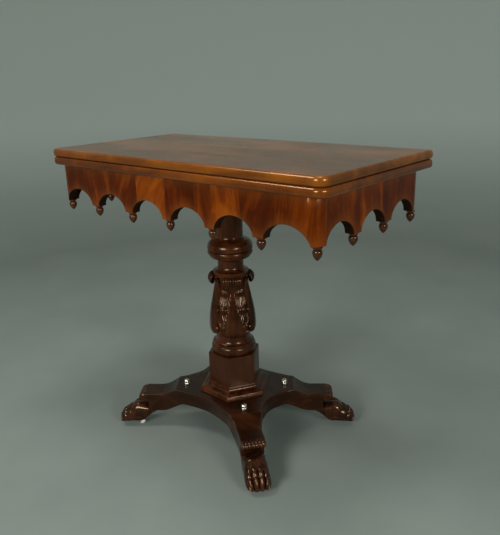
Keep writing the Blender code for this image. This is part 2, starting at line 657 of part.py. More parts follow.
def make_frame_inside(pivot_bore):
    """Rail that carries the pivot, floor of the well and bearer over the pillar."""
    inside_x = FRIEZE_X - FRIEZE_THICKNESS - FIT
    inside_y = FRIEZE_Y - FRIEZE_THICKNESS - FIT
    half = SWIVEL_RAIL_WIDTH / 2
    rail = box("swivel_rail", (PIVOT - half, -inside_y, FRIEZE_TOP - SWIVEL_RAIL_THICKNESS),
               (PIVOT + half, inside_y, FRIEZE_TOP), INNER_WOOD)
    settle(cut(rail, pivot_bore))
    corner = FRIEZE_CORNER_RADIUS - FRIEZE_THICKNESS
    outline = arc(inside_x - corner, inside_y - corner, corner, 0, 90, 3)
    outline += arc(corner - inside_x, inside_y - corner, corner, 90, 180, 3)
    outline += arc(corner - inside_x, corner - inside_y, corner, 180, 270, 3)
    outline += arc(inside_x - corner, corner - inside_y, corner, 270, 360, 3)
    slab("well_board", [outline], WELL_BOARD_BOTTOM, WELL_BOARD_TOP, INNER_WOOD)
    bearer = box("pillar_bearer", (-BEARER_WIDTH / 2, -inside_y, BEARER_BOTTOM),
                 (BEARER_WIDTH / 2, inside_y, BEARER_TOP), INNER_WOOD)
    mortise = bores("bearer_mortise", [(0.0, 0.0, BEARER_TOP)], PILLAR_TENON_RADIUS, 4 * BEARER_THICKNESS,
                    sides=PILLAR_STEPS)
    settle(cut(bearer, mortise))


# Pillar: a turned shaft with four carved leaves
def pillar_point(radius_share, height_share):
    return PILLAR_RADIUS * radius_share, PILLAR_BOTTOM + PILLAR_TURNED_HEIGHT * height_share


def leaf_rings(angle):
    """Sections of a leaf that climbs the shaft, crowned across and curled at its tip."""
    path = [Vector(pillar_point(r, z)) for r, z, _, _ in LEAF_PATH_SHARES]
    rings = []
    for i, (_, _, width, thickness) in enumerate(LEAF_PATH_SHARES):
        before, after = path[max(i - 1, 0)], path[min(i + 1, len(path) - 1)]
        along = (after - before).normalized()
        inward = Vector((-along.y, along.x))
        outer, inner = [], []
        for across in LEAF_ACROSS_SHARES:
            crown = LEAF_CROWN_SHARE * width * across * across
            for row, depth in ((outer, crown), (inner, crown + thickness)):
                radius, height = path[i] + inward * (PILLAR_RADIUS * depth)
                swing = angle + PILLAR_RADIUS * width * across / max(radius, PILLAR_TENON_RADIUS)
                row.append((radius * math.cos(swing), radius * math.sin(swing), height))
        rings.append(outer + inner[::-1])
    return rings


def make_pillar():
    foot = PLATFORM_TOP - PLATFORM_THICKNESS + FIT
    neck = PILLAR_RADIUS * PILLAR_PROFILE_SHARES[0][0]
    profile = [(0.0, BEARER_TOP), (PILLAR_TENON_RADIUS, BEARER_TOP), (PILLAR_TENON_RADIUS, PILLAR_TOP),
               (neck, PILLAR_TOP)]
    profile += [pillar_point(r, z) for r, z in PILLAR_PROFILE_SHARES]
    profile += [(PILLAR_FOOT_TENON_RADIUS, PILLAR_BOTTOM), (PILLAR_FOOT_TENON_RADIUS, foot), (0.0, foot)]
    pillar = settle(turned("pillar", profile, DARK, PILLAR_STEPS))
    leaves = [loft("leaf_" + str(i), leaf_rings(LEAF_FIRST_ANGLE + i * math.tau / LEAF_COUNT))
              for i in range(LEAF_COUNT)]
    smooth(join(pillar, *leaves), 40.0)


# Plinth and platform
def make_plinth():
    low, high = PLATFORM_TOP + FIT, PLINTH_TOP
    block = cylinders("plinth_block", [(0.0, 0.0, (low + high) / 2)], PLINTH_RADIUS, high - low, DARK,
                      sides=PLINTH_SIDES, turn=Matrix.Rotation(math.radians(90), 4, "Z"))
    tenon = bores("plinth_mortise", [(0.0, 0.0, high)], PILLAR_FOOT_TENON_RADIUS, 4 * PLINTH_HEIGHT,
                  sides=PILLAR_STEPS)
    settle(cut(block, tenon))
    inner = PLINTH_RADIUS + 2 * FIT
    profile = [(inner, low + MOULDING_HEIGHT)]
    profile += [(PLINTH_RADIUS + MOULDING_SPREAD * r, low + MOULDING_HEIGHT * z)
                for r, z in MOULDING_SHARES]
    profile.append((inner, low))
    turned("plinth_moulding", profile, DARK, PLINTH_SIDES, closed=True)
    return tenon


def platform_outline():
    """Smooth plan of the four arms and the hollows between them."""
    corner_run, corner_width = ARM_LIP_CORNER_SHARES
    side = [(ARM_APPROACH_AT, ARM_APPROACH), (ARM_WAIST_AT, ARM_WAIST),
            (ARM_WAIST_AT + ARM_END_HALF_WIDTH, ARM_END_HALF_WIDTH),
            (ARM_LENGTH - ARM_LIP / 2, ARM_END_HALF_WIDTH),
            (ARM_LENGTH + ARM_LIP * corner_run, ARM_END_HALF_WIDTH * corner_width)]
    arm = [(u, -v) for u, v in side] + [(ARM_LENGTH + ARM_LIP, 0.0)] + side[::-1]
    hollows = {"back_right": (0.0, PLATFORM_FRONT_WAIST), "back_left": (-PLATFORM_SIDE_WAIST, 0.0),
               "front_left": (0.0, -PLATFORM_FRONT_WAIST), "front_right": (PLATFORM_SIDE_WAIST, 0.0)}
    points = []
    for name, middle in hollows.items():
        points += [along_arm(name, u, v).to_2d() for u, v in arm]
        points.append(middle)
    return points


def make_platform(tenon):
    stand = Matrix.Rotation(math.radians(90), 4, "X")
    platform = slab("platform", [platform_outline()], ARM_UNDERSIDE, PLATFORM_TOP, DARK, bezier=True)
    tip = ARM_LENGTH + ARM_LIP
    lip_bottom = ARM_TOP - ARM_LIP_THICKNESS
    above = [(ARM_BREAK, PLATFORM_TOP + OVERRUN), (ARM_BREAK, PLATFORM_TOP)]
    above += [(ARM_BREAK + ARM_SLOPE_RUN * r, PLATFORM_TOP - ARM_DROP * d) for r, d in ARM_SLOPE_SHARES]
    above += [(tip - ARM_LIP * r, ARM_TOP - ARM_LIP_THICKNESS * d) for r, d in ARM_LIP_TOP_SHARES]
    above += [(tip + OVERRUN, above[-1][1]), (tip + OVERRUN, PLATFORM_TOP + OVERRUN)]
    end = [(ARM_LENGTH, ARM_UNDERSIDE - OVERRUN)]
    end += [(ARM_LENGTH + ARM_LIP * r, lip_bottom + ARM_LIP_THICKNESS * d)
            for r, d in ARM_LIP_UNDER_SHARES]
    end += [(tip + OVERRUN, end[-1][1]), (tip + OVERRUN, ARM_UNDERSIDE - OVERRUN)]
    level = PLATFORM_TOP - PLATFORM_THICKNESS
    spring = ARM_STEP_AT - ARM_SPRING_RUN
    fall = level - ARM_UNDERSIDE - ARM_STEP
    under = [(spring + ARM_SPRING_RUN * r, level - fall * d) for r, d in ARM_SPRING_SHARES]
    under.append((ARM_STEP_AT, ARM_UNDERSIDE - OVERRUN))
    below = [(-u, z) for u, z in reversed(under)] + under
    wide = PLATFORM_SIDE_WAIST
    cutters = [tenon]
    for arm in ARMS:
        turn = arm_matrix(arm)
        cutters.append(slab("arm_top_cut_" + arm, [above], -2 * ARM_END_HALF_WIDTH,
                            2 * ARM_END_HALF_WIDTH, matrix=turn @ stand))
        cutters.append(slab("arm_end_cut_" + arm, [end], -wide, wide, matrix=turn @ stand))
        if arm.endswith("right"):
            cutters.append(slab("arm_under_cut_" + arm, [below], -wide, wide, matrix=turn @ stand))
        cutters.append(bores("stud_bore_" + arm, [along_arm(arm, STUD_PLACE, 0.0, PLATFORM_TOP)],
                             STUD_SPIGOT_RADIUS, 2 * (STUD_SPIGOT_LENGTH + FIT), sides=STUD_STEPS))
    smooth(settle(cut(platform, *cutters)), 30.0)


def make_studs():
    profile = [(STUD_RADIUS * r, STUD_HEIGHT * h + FIT) for r, h in STUD_SHARES]
    points = [(0.0, STUD_HEIGHT + FIT)] + profile
    points += [(STUD_SPIGOT_RADIUS, FIT), (STUD_SPIGOT_RADIUS, -STUD_SPIGOT_LENGTH),
               (0.0, -STUD_SPIGOT_LENGTH)]
    for arm in ARMS:
        place = along_arm(arm, STUD_PLACE, 0.0, PLATFORM_TOP)
        turned("stud_" + arm, points, BRASS, STUD_STEPS, place=place)


# Paw feet
def paw_ring(arm, place, top, bottom, half_width, toe_depth=0.0, bow=0.0):
    """One section across the paw, bowed in plan and grooved between the toes."""
    segments = PAW_TOES * PAW_TOE_SEGMENTS
    ring = []
    for i in range(segments + 1):
        across = 2 * i / segments - 1
        round_over = (1 - abs(across) ** PAW_ROUNDNESS) ** (1 / PAW_ROUNDNESS)
        groove = (1 + math.cos(math.tau * i / PAW_TOE_SEGMENTS)) / 2
        if i in (0, segments):
            groove = 0.0
        height = bottom + (top - bottom) * round_over - toe_depth * groove
        back = bow * across * across
        ring.append(along_arm(arm, place - back, half_width * across, max(height, bottom)))
    return ring


def make_paw(arm):
    under_arm = ARM_UNDERSIDE - FIT
    rings = []
    for run, bottom, width in PAW_HEEL_SHARES:
        place = ARM_LENGTH - PAW_BACK * (1 - run)
        ring = paw_ring(arm, place, PAW_HEIGHT, PAW_HEIGHT * bottom, PAW_HALF_WIDTH * width)
        for point in ring:
            point.z = min(point.z, under_arm)
        rings.append(ring)
    for run, top, bottom, width in PAW_TOE_SHARES:
        place = ARM_LENGTH + FIT + PAW_LENGTH * run
        groove = PAW_HEIGHT * PAW_GROOVE_SHARE * min(1.0, run / PAW_GROOVE_RUN_SHARE)
        rings.append(paw_ring(arm, place, PAW_HEIGHT * top, PAW_HEIGHT * bottom, PAW_HALF_WIDTH * width,
                              toe_depth=groove, bow=PAW_BOW * run * run))
    paw = loft("paw_" + arm, rings, DARK)
    recess = cylinders("caster_recess_" + arm, [along_arm(arm, CASTER_PLACE)], CASTER_RECESS_RADIUS,
                       2 * CASTER_RECESS_TOP, sides=24)
    socket = bores("caster_socket_" + arm, [along_arm(arm, CASTER_PLACE, 0.0, CASTER_RECESS_TOP)],
                   CASTER_STEM_RADIUS, 2 * (CASTER_STEM_LENGTH + FIT), sides=CASTER_STEPS)
    smooth(settle(cut(paw, recess, socket)), 40.0)


# Casters
def make_caster(arm):
    centre = along_arm(arm, CASTER_PLACE)
    swing = math.radians(CASTER_DIRECTIONS[arm])
    place = Matrix.Translation(centre) @ Matrix.Rotation(swing, 4, "Z")
    crown_top = CASTER_RECESS_TOP - FIT
    crown_bottom = crown_top - CASTER_CROWN_THICKNESS
    stem_top = CASTER_RECESS_TOP + CASTER_STEM_LENGTH
    profile = [(0.0, stem_top), (CASTER_STEM_RADIUS, stem_top), (CASTER_STEM_RADIUS, crown_top),
               (CASTER_CROWN_RADIUS, crown_top), (CASTER_CROWN_RADIUS, crown_bottom),
               (0.0, crown_bottom)]
    fork = turned("caster_fork_" + arm, profile, BRASS, CASTER_STEPS, place=centre, turn=swing)
    settle(fork)
    stand = Matrix.Rotation(math.radians(90), 4, "X")
    blend = crown_bottom + CASTER_CROWN_THICKNESS / 2
    outline = arc(CASTER_TRAIL, WHEEL_AXIS_Z, CASTER_CHEEK_RADIUS, -150, 30, 4)
    outline += [(CASTER_CROWN_RADIUS * share, blend) for share in CASTER_CHEEK_REACH_SHARES]
    inner = CASTER_WHEEL_WIDTH / 2 + CASTER_SIDE_GAP
    outer = inner + CASTER_CHEEK_THICKNESS
    cheeks = [slab("cheek_near_" + arm, [outline], inner, outer, matrix=place @ stand),
              slab("cheek_far_" + arm, [outline], -outer, -inner, matrix=place @ stand)]
    join(fork, *cheeks)
    axle_centre = place @ Vector((CASTER_TRAIL, 0.0, WHEEL_AXIS_Z))
    lie = Matrix.Rotation(swing, 4, "Z") @ Matrix.Rotation(math.radians(90), 4, "X")
    hole = bores("axle_hole_" + arm, [axle_centre], CASTER_AXLE_RADIUS, 2 * CASTER_CROWN_RADIUS,
                 sides=8, turn=lie)
    axle = cylinders("caster_axle_" + arm, [axle_centre], CASTER_AXLE_RADIUS,
                     2 * (outer + CASTER_AXLE_PROUD), STEEL, sides=8, turn=lie)
    seat(centre, smooth(settle(cut(fork, hole))), smooth(axle))
    half = CASTER_WHEEL_WIDTH / 2
    bore = (CASTER_AXLE_RADIUS + FIT) / math.cos(math.pi / CASTER_WHEEL_SIDES)
    rim = CASTER_WHEEL_RADIUS - CASTER_WHEEL_EASE
    loop = [(bore, half), (rim, half), (CASTER_WHEEL_RADIUS, half - CASTER_WHEEL_EASE),
            (CASTER_WHEEL_RADIUS, CASTER_WHEEL_EASE - half), (rim, -half), (bore, -half)]
    wheel = turned("caster_wheel_" + arm, loop, CHINA, CASTER_WHEEL_SIDES, closed=True)
    facet = Matrix.Rotation(math.pi / CASTER_WHEEL_SIDES, 4, "Z")
    wheel.matrix_world = Matrix.Translation(axle_centre) @ lie @ facet
    seat(axle_centre, smooth(settle(wheel)))


make_top()
for hinge_side, hinge_x in hinge_places().items():
    make_hinge(hinge_side, hinge_x)
BOLT_BORE = make_pivot()
make_frieze()
make_pendants()
make_frame_inside(BOLT_BORE)
make_pillar()
TENON = make_plinth()
make_platform(TENON)
make_studs()
for arm_name in ARMS:
    make_paw(arm_name)
    make_caster(arm_name)
bpy.context.view_layer.update()
print("nodes:", len(TABLE.objects))
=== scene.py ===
# %% [markdown]
# # A fold-over tea table in polished mahogany
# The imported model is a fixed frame: every solid piece at its real size and place.
# This script dresses it, piece by piece, in the order in which a cabinet maker
# would finish the table: top, frieze, pendants, column, platform, feet, brass.

# %% Load the frame
import json
import math

import bmesh
import bpy
import numpy as np
from mathutils import Matrix, Vector


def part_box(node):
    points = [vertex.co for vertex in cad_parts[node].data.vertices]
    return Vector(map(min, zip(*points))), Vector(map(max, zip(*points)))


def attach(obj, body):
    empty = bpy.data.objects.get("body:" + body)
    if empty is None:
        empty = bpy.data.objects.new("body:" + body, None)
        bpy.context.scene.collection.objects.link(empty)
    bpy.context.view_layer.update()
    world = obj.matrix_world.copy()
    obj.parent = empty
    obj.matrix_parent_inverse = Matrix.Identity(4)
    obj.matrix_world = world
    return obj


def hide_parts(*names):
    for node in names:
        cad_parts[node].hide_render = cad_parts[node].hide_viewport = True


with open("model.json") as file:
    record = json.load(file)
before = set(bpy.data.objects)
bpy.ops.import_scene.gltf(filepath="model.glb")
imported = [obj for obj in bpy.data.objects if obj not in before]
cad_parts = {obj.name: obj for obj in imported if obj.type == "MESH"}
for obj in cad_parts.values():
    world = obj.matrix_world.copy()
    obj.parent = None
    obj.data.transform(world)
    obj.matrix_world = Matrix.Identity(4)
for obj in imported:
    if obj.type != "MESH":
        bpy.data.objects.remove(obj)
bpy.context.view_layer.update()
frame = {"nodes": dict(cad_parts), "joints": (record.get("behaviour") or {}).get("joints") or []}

MM = 0.001
TAU = math.tau
QUARTER = math.pi / 2
GAP = 0.3 * MM
MERGE = 0.01 * MM


def middle_of(node):
    """The middle of the box round a solid of the frame."""
    low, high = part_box(node)
    return [(a + b) / 2 for a, b in zip(low, high)]


def show(thing):
    """Puts a new object into the scene."""
    bpy.context.scene.collection.objects.link(thing)


# %% [markdown]
# ## The camera
# The photograph was taken from the front right, a little above the top. The
# place and the turns below come from fitting the table's own edges, so that a
# render falls on the photograph line by line.

# %% Camera at the photograph's angle
CAMERA_PLACE = Vector((0.9911, -1.0481, 0.9115))
CAMERA_YAW, CAMERA_PITCH, CAMERA_ROLL = 0.72386, 0.31449, -0.029788
FOCAL_PIXELS = 599.961
FRAME_HEIGHT_PIXELS = 535
SENSOR = 36.0


def make_camera():
    """Level directions are turned by the yaw, tipped by the pitch and then rolled."""
    level = Vector((-math.sin(CAMERA_YAW), math.cos(CAMERA_YAW), 0.0))
    side = Vector((math.cos(CAMERA_YAW), math.sin(CAMERA_YAW), 0.0))
    upright = Vector((0.0, 0.0, 1.0))
    forward = level * math.cos(CAMERA_PITCH) - upright * math.sin(CAMERA_PITCH)
    up = upright * math.cos(CAMERA_PITCH) + level * math.sin(CAMERA_PITCH)
    rolled_side = side * math.cos(CAMERA_ROLL) + up * math.sin(CAMERA_ROLL)
    rolled_up = up * math.cos(CAMERA_ROLL) - side * math.sin(CAMERA_ROLL)
    data = bpy.data.cameras.new("camera")
    data.sensor_width = SENSOR
    data.lens = FOCAL_PIXELS / FRAME_HEIGHT_PIXELS * SENSOR
    camera = bpy.data.objects.new("camera", data)
    turn = Matrix((rolled_side, rolled_up, -forward)).transposed().to_4x4()
    camera.matrix_world = Matrix.Translation(CAMERA_PLACE) @ turn
    show(camera)
    bpy.context.scene.camera = camera


make_camera()
print("camera:", tuple(CAMERA_PLACE))

# %% [markdown]
# ## From numbers to meshes
# Every new piece is a grid of points worked out as one array. The rows run along
# the piece and the columns go round it, so that one small function can join the
# points into faces. Two more helpers turn a profile on the lathe and draw a
# smooth curve through a few chosen points.


# %% Grids, lathe and curves
QUARTER_STEPS, BEAD_STEPS = 9, 15


def skin(points, closed_rows=False):
    """Quads between neighbouring rows and columns; columns meet themselves, row ends are capped."""
    rows, columns = points.shape[:2]
    index = np.arange(rows * columns).reshape(rows, columns)
    caps = [] if closed_rows else [index[0, ::-1].tolist(), index[-1].tolist()]
    if closed_rows:
        index = np.vstack([index, index[:1]])
    low, high = index[:-1], index[1:]
    quads = np.stack([low, np.roll(low, -1, 1), np.roll(high, -1, 1), high], axis=-1)
    return points.reshape(-1, 3), quads.reshape(-1, 4).tolist() + caps


def stack(*shapes):
    """Several shapes as one: the vertex numbers of each are raised by what came before."""
    points, faces, count = [], [], 0
    for verts, some in shapes:
        points.append(verts)
        faces += [[count + i for i in face] for face in some]
        count += len(verts)
    return np.concatenate(points), faces


def spline(knots, steps):
    """Catmull-Rom curve: a cubic between each two knots whose slopes follow the neighbours."""
    k = np.asarray(knots, float)
    k = np.vstack([2 * k[0] - k[1], k, 2 * k[-1] - k[-2]])
    t = np.linspace(0, 1, steps, endpoint=False)[:, None, None]
    a, b, c, d = (k[i:len(k) - 3 + i][None] for i in range(4))
    curve = (2 * b + (c - a) * t + (2 * a - 5 * b + 4 * c - d) * t**2
             + (3 * b - a - 3 * c + d) * t**3) / 2
    return np.vstack([curve.transpose(1, 0, 2).reshape(-1, k.shape[1]), k[-2:-1]])


def moulding(*moves):
    """A turner's profile from cuts, each from the last point to (radius, height) in mm.

    A bare pair is a straight cut; across leaves along the radius and ends along the
    height, a quarter ellipse; down is the same, begun along the height; bead is a half
    ellipse that stands out by its last number.
    """
    points = [np.array([moves[0]], float)]
    for move in moves[1:]:
        if not isinstance(move[0], str):
            points.append(np.array([move], float))
            continue
        kind, radius, height, *swell = move
        r, h = points[-1][-1]
        a = np.linspace(0, QUARTER, QUARTER_STEPS)[1:]
        share = np.linspace(0, 1, BEAD_STEPS)[1:]
        slow, quick = 1 - np.cos(a), np.sin(a)
        if kind == "across":
            outward, upward = (radius - r) * quick, (height - h) * slow
        elif kind == "down":
            outward, upward = (radius - r) * slow, (height - h) * quick
        else:
            outward = (radius - r) * share + np.sin(math.pi * share) * swell[0]
            upward = (height - h) * (1 - np.cos(math.pi * share)) / 2
        points.append(np.stack([r + outward, h + upward], 1))
    return np.concatenate(points) * MM


def lathe(profile, steps, centre=(0.0, 0.0), closed_rows=False):
    """x and y go round the centre at the profile's radius, z is the profile's height."""
    angle = np.arange(steps) * TAU / steps
    radius, height = profile[:, :1], profile[:, 1:]
    return skin(np.stack([centre[0] + radius * np.cos(angle), centre[1] + radius * np.sin(angle),
                          height + 0 * angle], axis=-1), closed_rows)


def block(low, high):
    """A box between two corners, as a square ring carried from the bottom to the top."""
    (x0, y0, z0), (x1, y1, z1) = low, high
    ring = np.array([(x0, y0), (x1, y0), (x1, y1), (x0, y1)])
    return skin(np.stack([np.column_stack([ring, np.full(4, z)]) for z in (z0, z1)]))


def ease(value, low, high):
    """0 below low, 1 above high, and 3t2 - 2t3 between them."""
    t = np.clip((value - low) / (high - low), 0, 1)
    return t * t * (3 - 2 * t)


def power(value, exponent):
    """A power that keeps the sign, for superellipses."""
    return np.sign(value) * np.abs(value) ** exponent


disc_points, disc_faces = lathe(moulding((0, 10), (10, 10), ("bead", 10, 0, 2.0), (0, 0)), 24)
print("a small turned disc:", len(disc_points), "points and", len(disc_faces), "faces")

# %% [markdown]
# ## Crests and hollows
# Polish wears thin on the crests of a carving and dark wax stays in its hollows. The darker hollows also
# paint in the shade that falls there, and the lighter crests paint in highlight as well as wear.
# Blender could find these places with Pointiness, but only in one renderer. Here
# the bend of the surface is worked out once from the mesh, and stored on it as an
# attribute that any material can read.

# %% Finishing a piece
SMOOTH_ANGLE = 30.0


def bend_of(mesh, rounds=2):
    """Mean slope of the edges at a point, measured up along its normal, then smoothed."""
    count = len(mesh.vertices)
    place = np.empty(count * 3)
    normal = np.empty(count * 3)
    ends = np.empty(len(mesh.edges) * 2, dtype=np.int32)
    mesh.vertices.foreach_get("co", place)
    mesh.vertex_normals.foreach_get("vector", normal)
    mesh.edges.foreach_get("vertices", ends)
    place, normal = place.reshape(-1, 3), normal.reshape(-1, 3)
    one, two = ends.reshape(-1, 2).T
    run = place[two] - place[one]
    length = np.maximum(np.linalg.norm(run, axis=1), 1e-9)

    def gathered(at_one, at_two):
        """Sums at each point the values that its edges bring, from their first and second ends."""
        return np.bincount(one, at_one, minlength=count) + np.bincount(two, at_two, minlength=count)

    edges = np.maximum(gathered(None, None), 1)
    rise = gathered((normal[one] * run).sum(1) / length, -(normal[two] * run).sum(1) / length) / edges
    for _ in range(rounds):
        rise = (rise + gathered(rise[two], rise[one]) / edges) / 2
    return rise


def finish_piece(piece, material, body, replaced=(), angle=SMOOTH_ANGLE):
    """Gives a piece its shading, its hollows, its material and its place in the frame."""
    mesh = piece.data
    mesh.shade_smooth()
    mesh.set_sharp_from_angle(angle=math.radians(angle))
    layer = mesh.attributes.new("hollow", "FLOAT", "POINT")
    layer.data.foreach_set("value", bend_of(mesh).astype(np.float32))
    mesh.materials.clear()
    mesh.materials.append(material)
    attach(piece, body)
    if replaced:
        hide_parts(*replaced)
    return piece


def raw_piece(name, shape, grain=None):
    """Vertices and faces as a mesh object: doubled points merged, faces turned outwards."""
    verts, faces = shape
    mesh = bpy.data.meshes.new(name)
    mesh.from_pydata(verts.tolist(), [], faces)
    if grain is not None:
        layer = mesh.attributes.new("grain", "FLOAT_VECTOR", "POINT")
        layer.data.foreach_set("vector", grain.astype(np.float32).ravel())
    work = bmesh.new()
    work.from_mesh(mesh)
    bmesh.ops.remove_doubles(work, verts=work.verts, dist=MERGE)
    bmesh.ops.recalc_face_normals(work, faces=work.faces)
    work.to_mesh(mesh)
    work.free()
    piece = bpy.data.objects.new(name, mesh)
    show(piece)
    return piece


def make_piece(name, shape, material, body, replaced=(), angle=SMOOTH_ANGLE, grain=None):
    """A shape as a finished piece, in one step."""
    return finish_piece(raw_piece(name, shape, grain), material, body, replaced, angle)


def apply_modifiers(piece):
    """The evaluated mesh takes the place of the mesh and its modifiers."""
    bpy.context.view_layer.update()
    evaluated = piece.evaluated_get(bpy.context.evaluated_depsgraph_get())
    mesh = bpy.data.meshes.new_from_object(evaluated)
    piece.modifiers.clear()
    piece.data = mesh


def carve(piece, shape):
    """Cuts a shape out of a piece, and removes the cutter."""
    cutter = raw_piece(piece.name + "_cutter", shape)
    modifier = piece.modifiers.new("carve", "BOOLEAN")
    modifier.operation = "DIFFERENCE"
    modifier.solver = "EXACT"
    modifier.object = cutter
    apply_modifiers(piece)
    bpy.data.objects.remove(cutter, do_unlink=True)


print("pieces are shaded smooth where their faces meet within", SMOOTH_ANGLE, "degrees")

# %% [markdown]
# ## Node groups
# The same effects serve many finishes: the grain of mahogany, the wax and painted shade in a hollow, the
# wear and painted highlight on a crest, the soft unevenness of French polish and fine scratches. Each is a
# group that gives colours, masks and heights. The shader stays in the material.


# %% Helpers for shader nodes
def feed(tree, sockets, values):
    """Links a socket to another node's output, or sets its value; a colour comes without its alpha."""
    for key, value in values.items():
        if isinstance(value, bpy.types.NodeSocket):
            tree.links.new(value, sockets[key])
        else:
            sockets[key].default_value = (*value, 1) if sockets[key].type == "RGBA" else value


def add_node(tree, kind, inputs=None, **settings):
    """A shader node with its settings, and its sockets fed."""
    made = tree.nodes.new("ShaderNode" + kind)
    for key, value in settings.items():
        setattr(made, key, value)
    feed(tree, made.inputs, inputs or {})
    return made


def calc(tree, operation, a, b=0.0, clamp=False):
    """One Math node as a value."""
    return add_node(tree, "Math", {0: a, 1: b}, operation=operation, use_clamp=clamp).outputs[0]


def plus(tree, a, b, clamp=False):
    """The sum of two values, kept between 0 and 1 when clamped."""
    return calc(tree, "ADD", a, b, clamp)


def minus(tree, a, b):
    """The first value less the second."""
    return calc(tree, "SUBTRACT", a, b)


def times(tree, a, b):
    """The product of two values."""
    return calc(tree, "MULTIPLY", a, b)


def stretch(tree, vector, sizes):
    """A vector times three sizes."""
    return add_node(tree, "VectorMath", {0: vector, 1: sizes}, operation="MULTIPLY").outputs[0]


def noise(tree, vector, scale=1.0, detail=3.0, rough=0.5, warp=0.0):
    """Fractal noise between 0 and 1; warp twists it into flames."""
    return add_node(tree, "TexNoise", {"Vector": vector, "Scale": scale, "Detail": detail,
                                       "Roughness": rough, "Distortion": warp}).outputs["Fac"]


def fit(tree, value, low, high, to_low=0.0, to_high=1.0):
    """A value's range moved to another and kept inside it."""
    return add_node(tree, "MapRange", {"Value": value, "From Min": low, "From Max": high,
                                       "To Min": to_low, "To Max": to_high}).outputs["Result"]


def mix_colour(tree, factor, a, b, mode="MIX"):
    """Colour a where the factor is 0 and b, or a blended with b, where it is 1."""
    return add_node(tree, "Mix", {0: factor, 6: a, 7: b}, data_type="RGBA", blend_type=mode).outputs[2]


def new_group(name, inputs, outputs):
    """An empty group with named sockets, and its two end nodes."""
    tree = bpy.data.node_groups.new(name, "ShaderNodeTree")
    for label, kind, value in inputs:
        socket = tree.interface.new_socket(label, in_out="INPUT", socket_type="NodeSocket" + kind)
        if value is not None:
            socket.default_value = (*value, 1) if kind == "Color" else value
    for label, kind in outputs:
        tree.interface.new_socket(label, in_out="OUTPUT", socket_type="NodeSocket" + kind)
    return tree, tree.nodes.new("NodeGroupInput").outputs, tree.nodes.new("NodeGroupOutput").inputs


def use_group(tree, group, inputs):
    """A group placed in a material with its own values."""
    made = tree.nodes.new("ShaderNodeGroup")
    made.node_tree = group
    feed(tree, made.inputs, inputs)
    return made.outputs


def bumped(tree, height, strength, depth):
    """The surface's normal, tipped as if a height of 1 stood out by the depth."""
    made = add_node(tree, "Bump", {"Height": height, "Strength": strength, "Distance": depth})
    return made.outputs["Normal"]


# %% The mahogany group
def mahogany_group():
    """Bands across the grain, fibres along it, flame figure over both and short dark pores."""
    tree, given, result = new_group(
        "mahogany_grain",
        (("Place", "Vector", None), ("Bands", "Float", 26.0), ("Contrast", "Float", 1.6),
         ("Figure", "Float", 0.5),
         ("Dark", "Color", (0.03, 0.01, 0.005)), ("Middle", "Color", (0.12, 0.04, 0.015)),
         ("Light", "Color", (0.3, 0.12, 0.03))),
        (("Colour", "Color"), ("Tone", "Float"), ("Height", "Float")))
    place = given["Place"]
    flat = stretch(tree, place, (1.8, 1.0, 1.0))
    banded = add_node(tree, "VectorMath", {0: flat, 3: given["Bands"]}, operation="SCALE").outputs[0]
    bands = noise(tree, stretch(tree, banded, (0.10, 1.0, 1.0)), detail=2.0, warp=0.9)
    fibre = noise(tree, stretch(tree, place, (16.0, 520.0, 520.0)), detail=4.0, rough=0.65)
    flame = noise(tree, stretch(tree, place, (11.0, 14.0, 14.0)), detail=3.0, rough=0.55, warp=1.2)
    pores = fit(tree, noise(tree, stretch(tree, place, (70.0, 1400.0, 1400.0)), detail=1.0), 0.60, 0.72)
    flame = times(tree, minus(tree, flame, 0.5), given["Figure"])
    tone = times(tree, minus(tree, bands, 0.5), given["Contrast"])
    tone = plus(tree, tone, flame)
    tone = plus(tree, tone, times(tree, minus(tree, fibre, 0.5), 0.5))
    tone = plus(tree, tone, 0.5, clamp=True)
    colour = mix_colour(tree, fit(tree, tone, 0.0, 0.55), given["Dark"], given["Middle"])
    colour = mix_colour(tree, fit(tree, tone, 0.45, 1.0), colour, given["Light"])
    colour = mix_colour(tree, times(tree, pores, 0.45), colour, given["Dark"])
    feed(tree, result, {"Colour": colour, "Tone": tone,
                        "Height": minus(tree, times(tree, fibre, 0.4), pores)})
    return tree


# %% Wax and painted shade in the hollows, wear and painted highlight on the crests, and polish
# Near black, for the wax and the painted shade in the hollows.
DARK_WAX_AND_PAINTED_SHADE = (0.006, 0.003, 0.002)


def wax_and_painted_light_group():
    """Reads the hollow attribute: darker where the surface bends up, as wax and painted shade; lighter and
    warmer on its crests, as wear and painted highlight.
    """
    tree, given, result = new_group(
        "wax_wear_and_painted_light",
        (("Colour", "Color", (0.1, 0.04, 0.02)), ("Reach", "Float", 0.25), ("Wax and painted shade", "Float", 0.8),
         ("Wear and painted highlight", "Float", 0.5), ("Worn and painted highlight", "Color", (0.25, 0.1, 0.04))),
        (("Colour", "Color"),))
    bend = add_node(tree, "Attribute", attribute_name="hollow", attribute_type="GEOMETRY").outputs["Fac"]
    hollow = fit(tree, bend, 0.0, given["Reach"])
    ridge = fit(tree, times(tree, bend, -1.0), 0.0, given["Reach"])
    colour = mix_colour(tree, times(tree, ridge, given["Wear and painted highlight"]), given["Colour"], given["Worn and painted highlight"])
    colour = mix_colour(tree, times(tree, hollow, given["Wax and painted shade"]), colour, DARK_WAX_AND_PAINTED_SHADE)
    feed(tree, result, {"Colour": colour})
    return tree


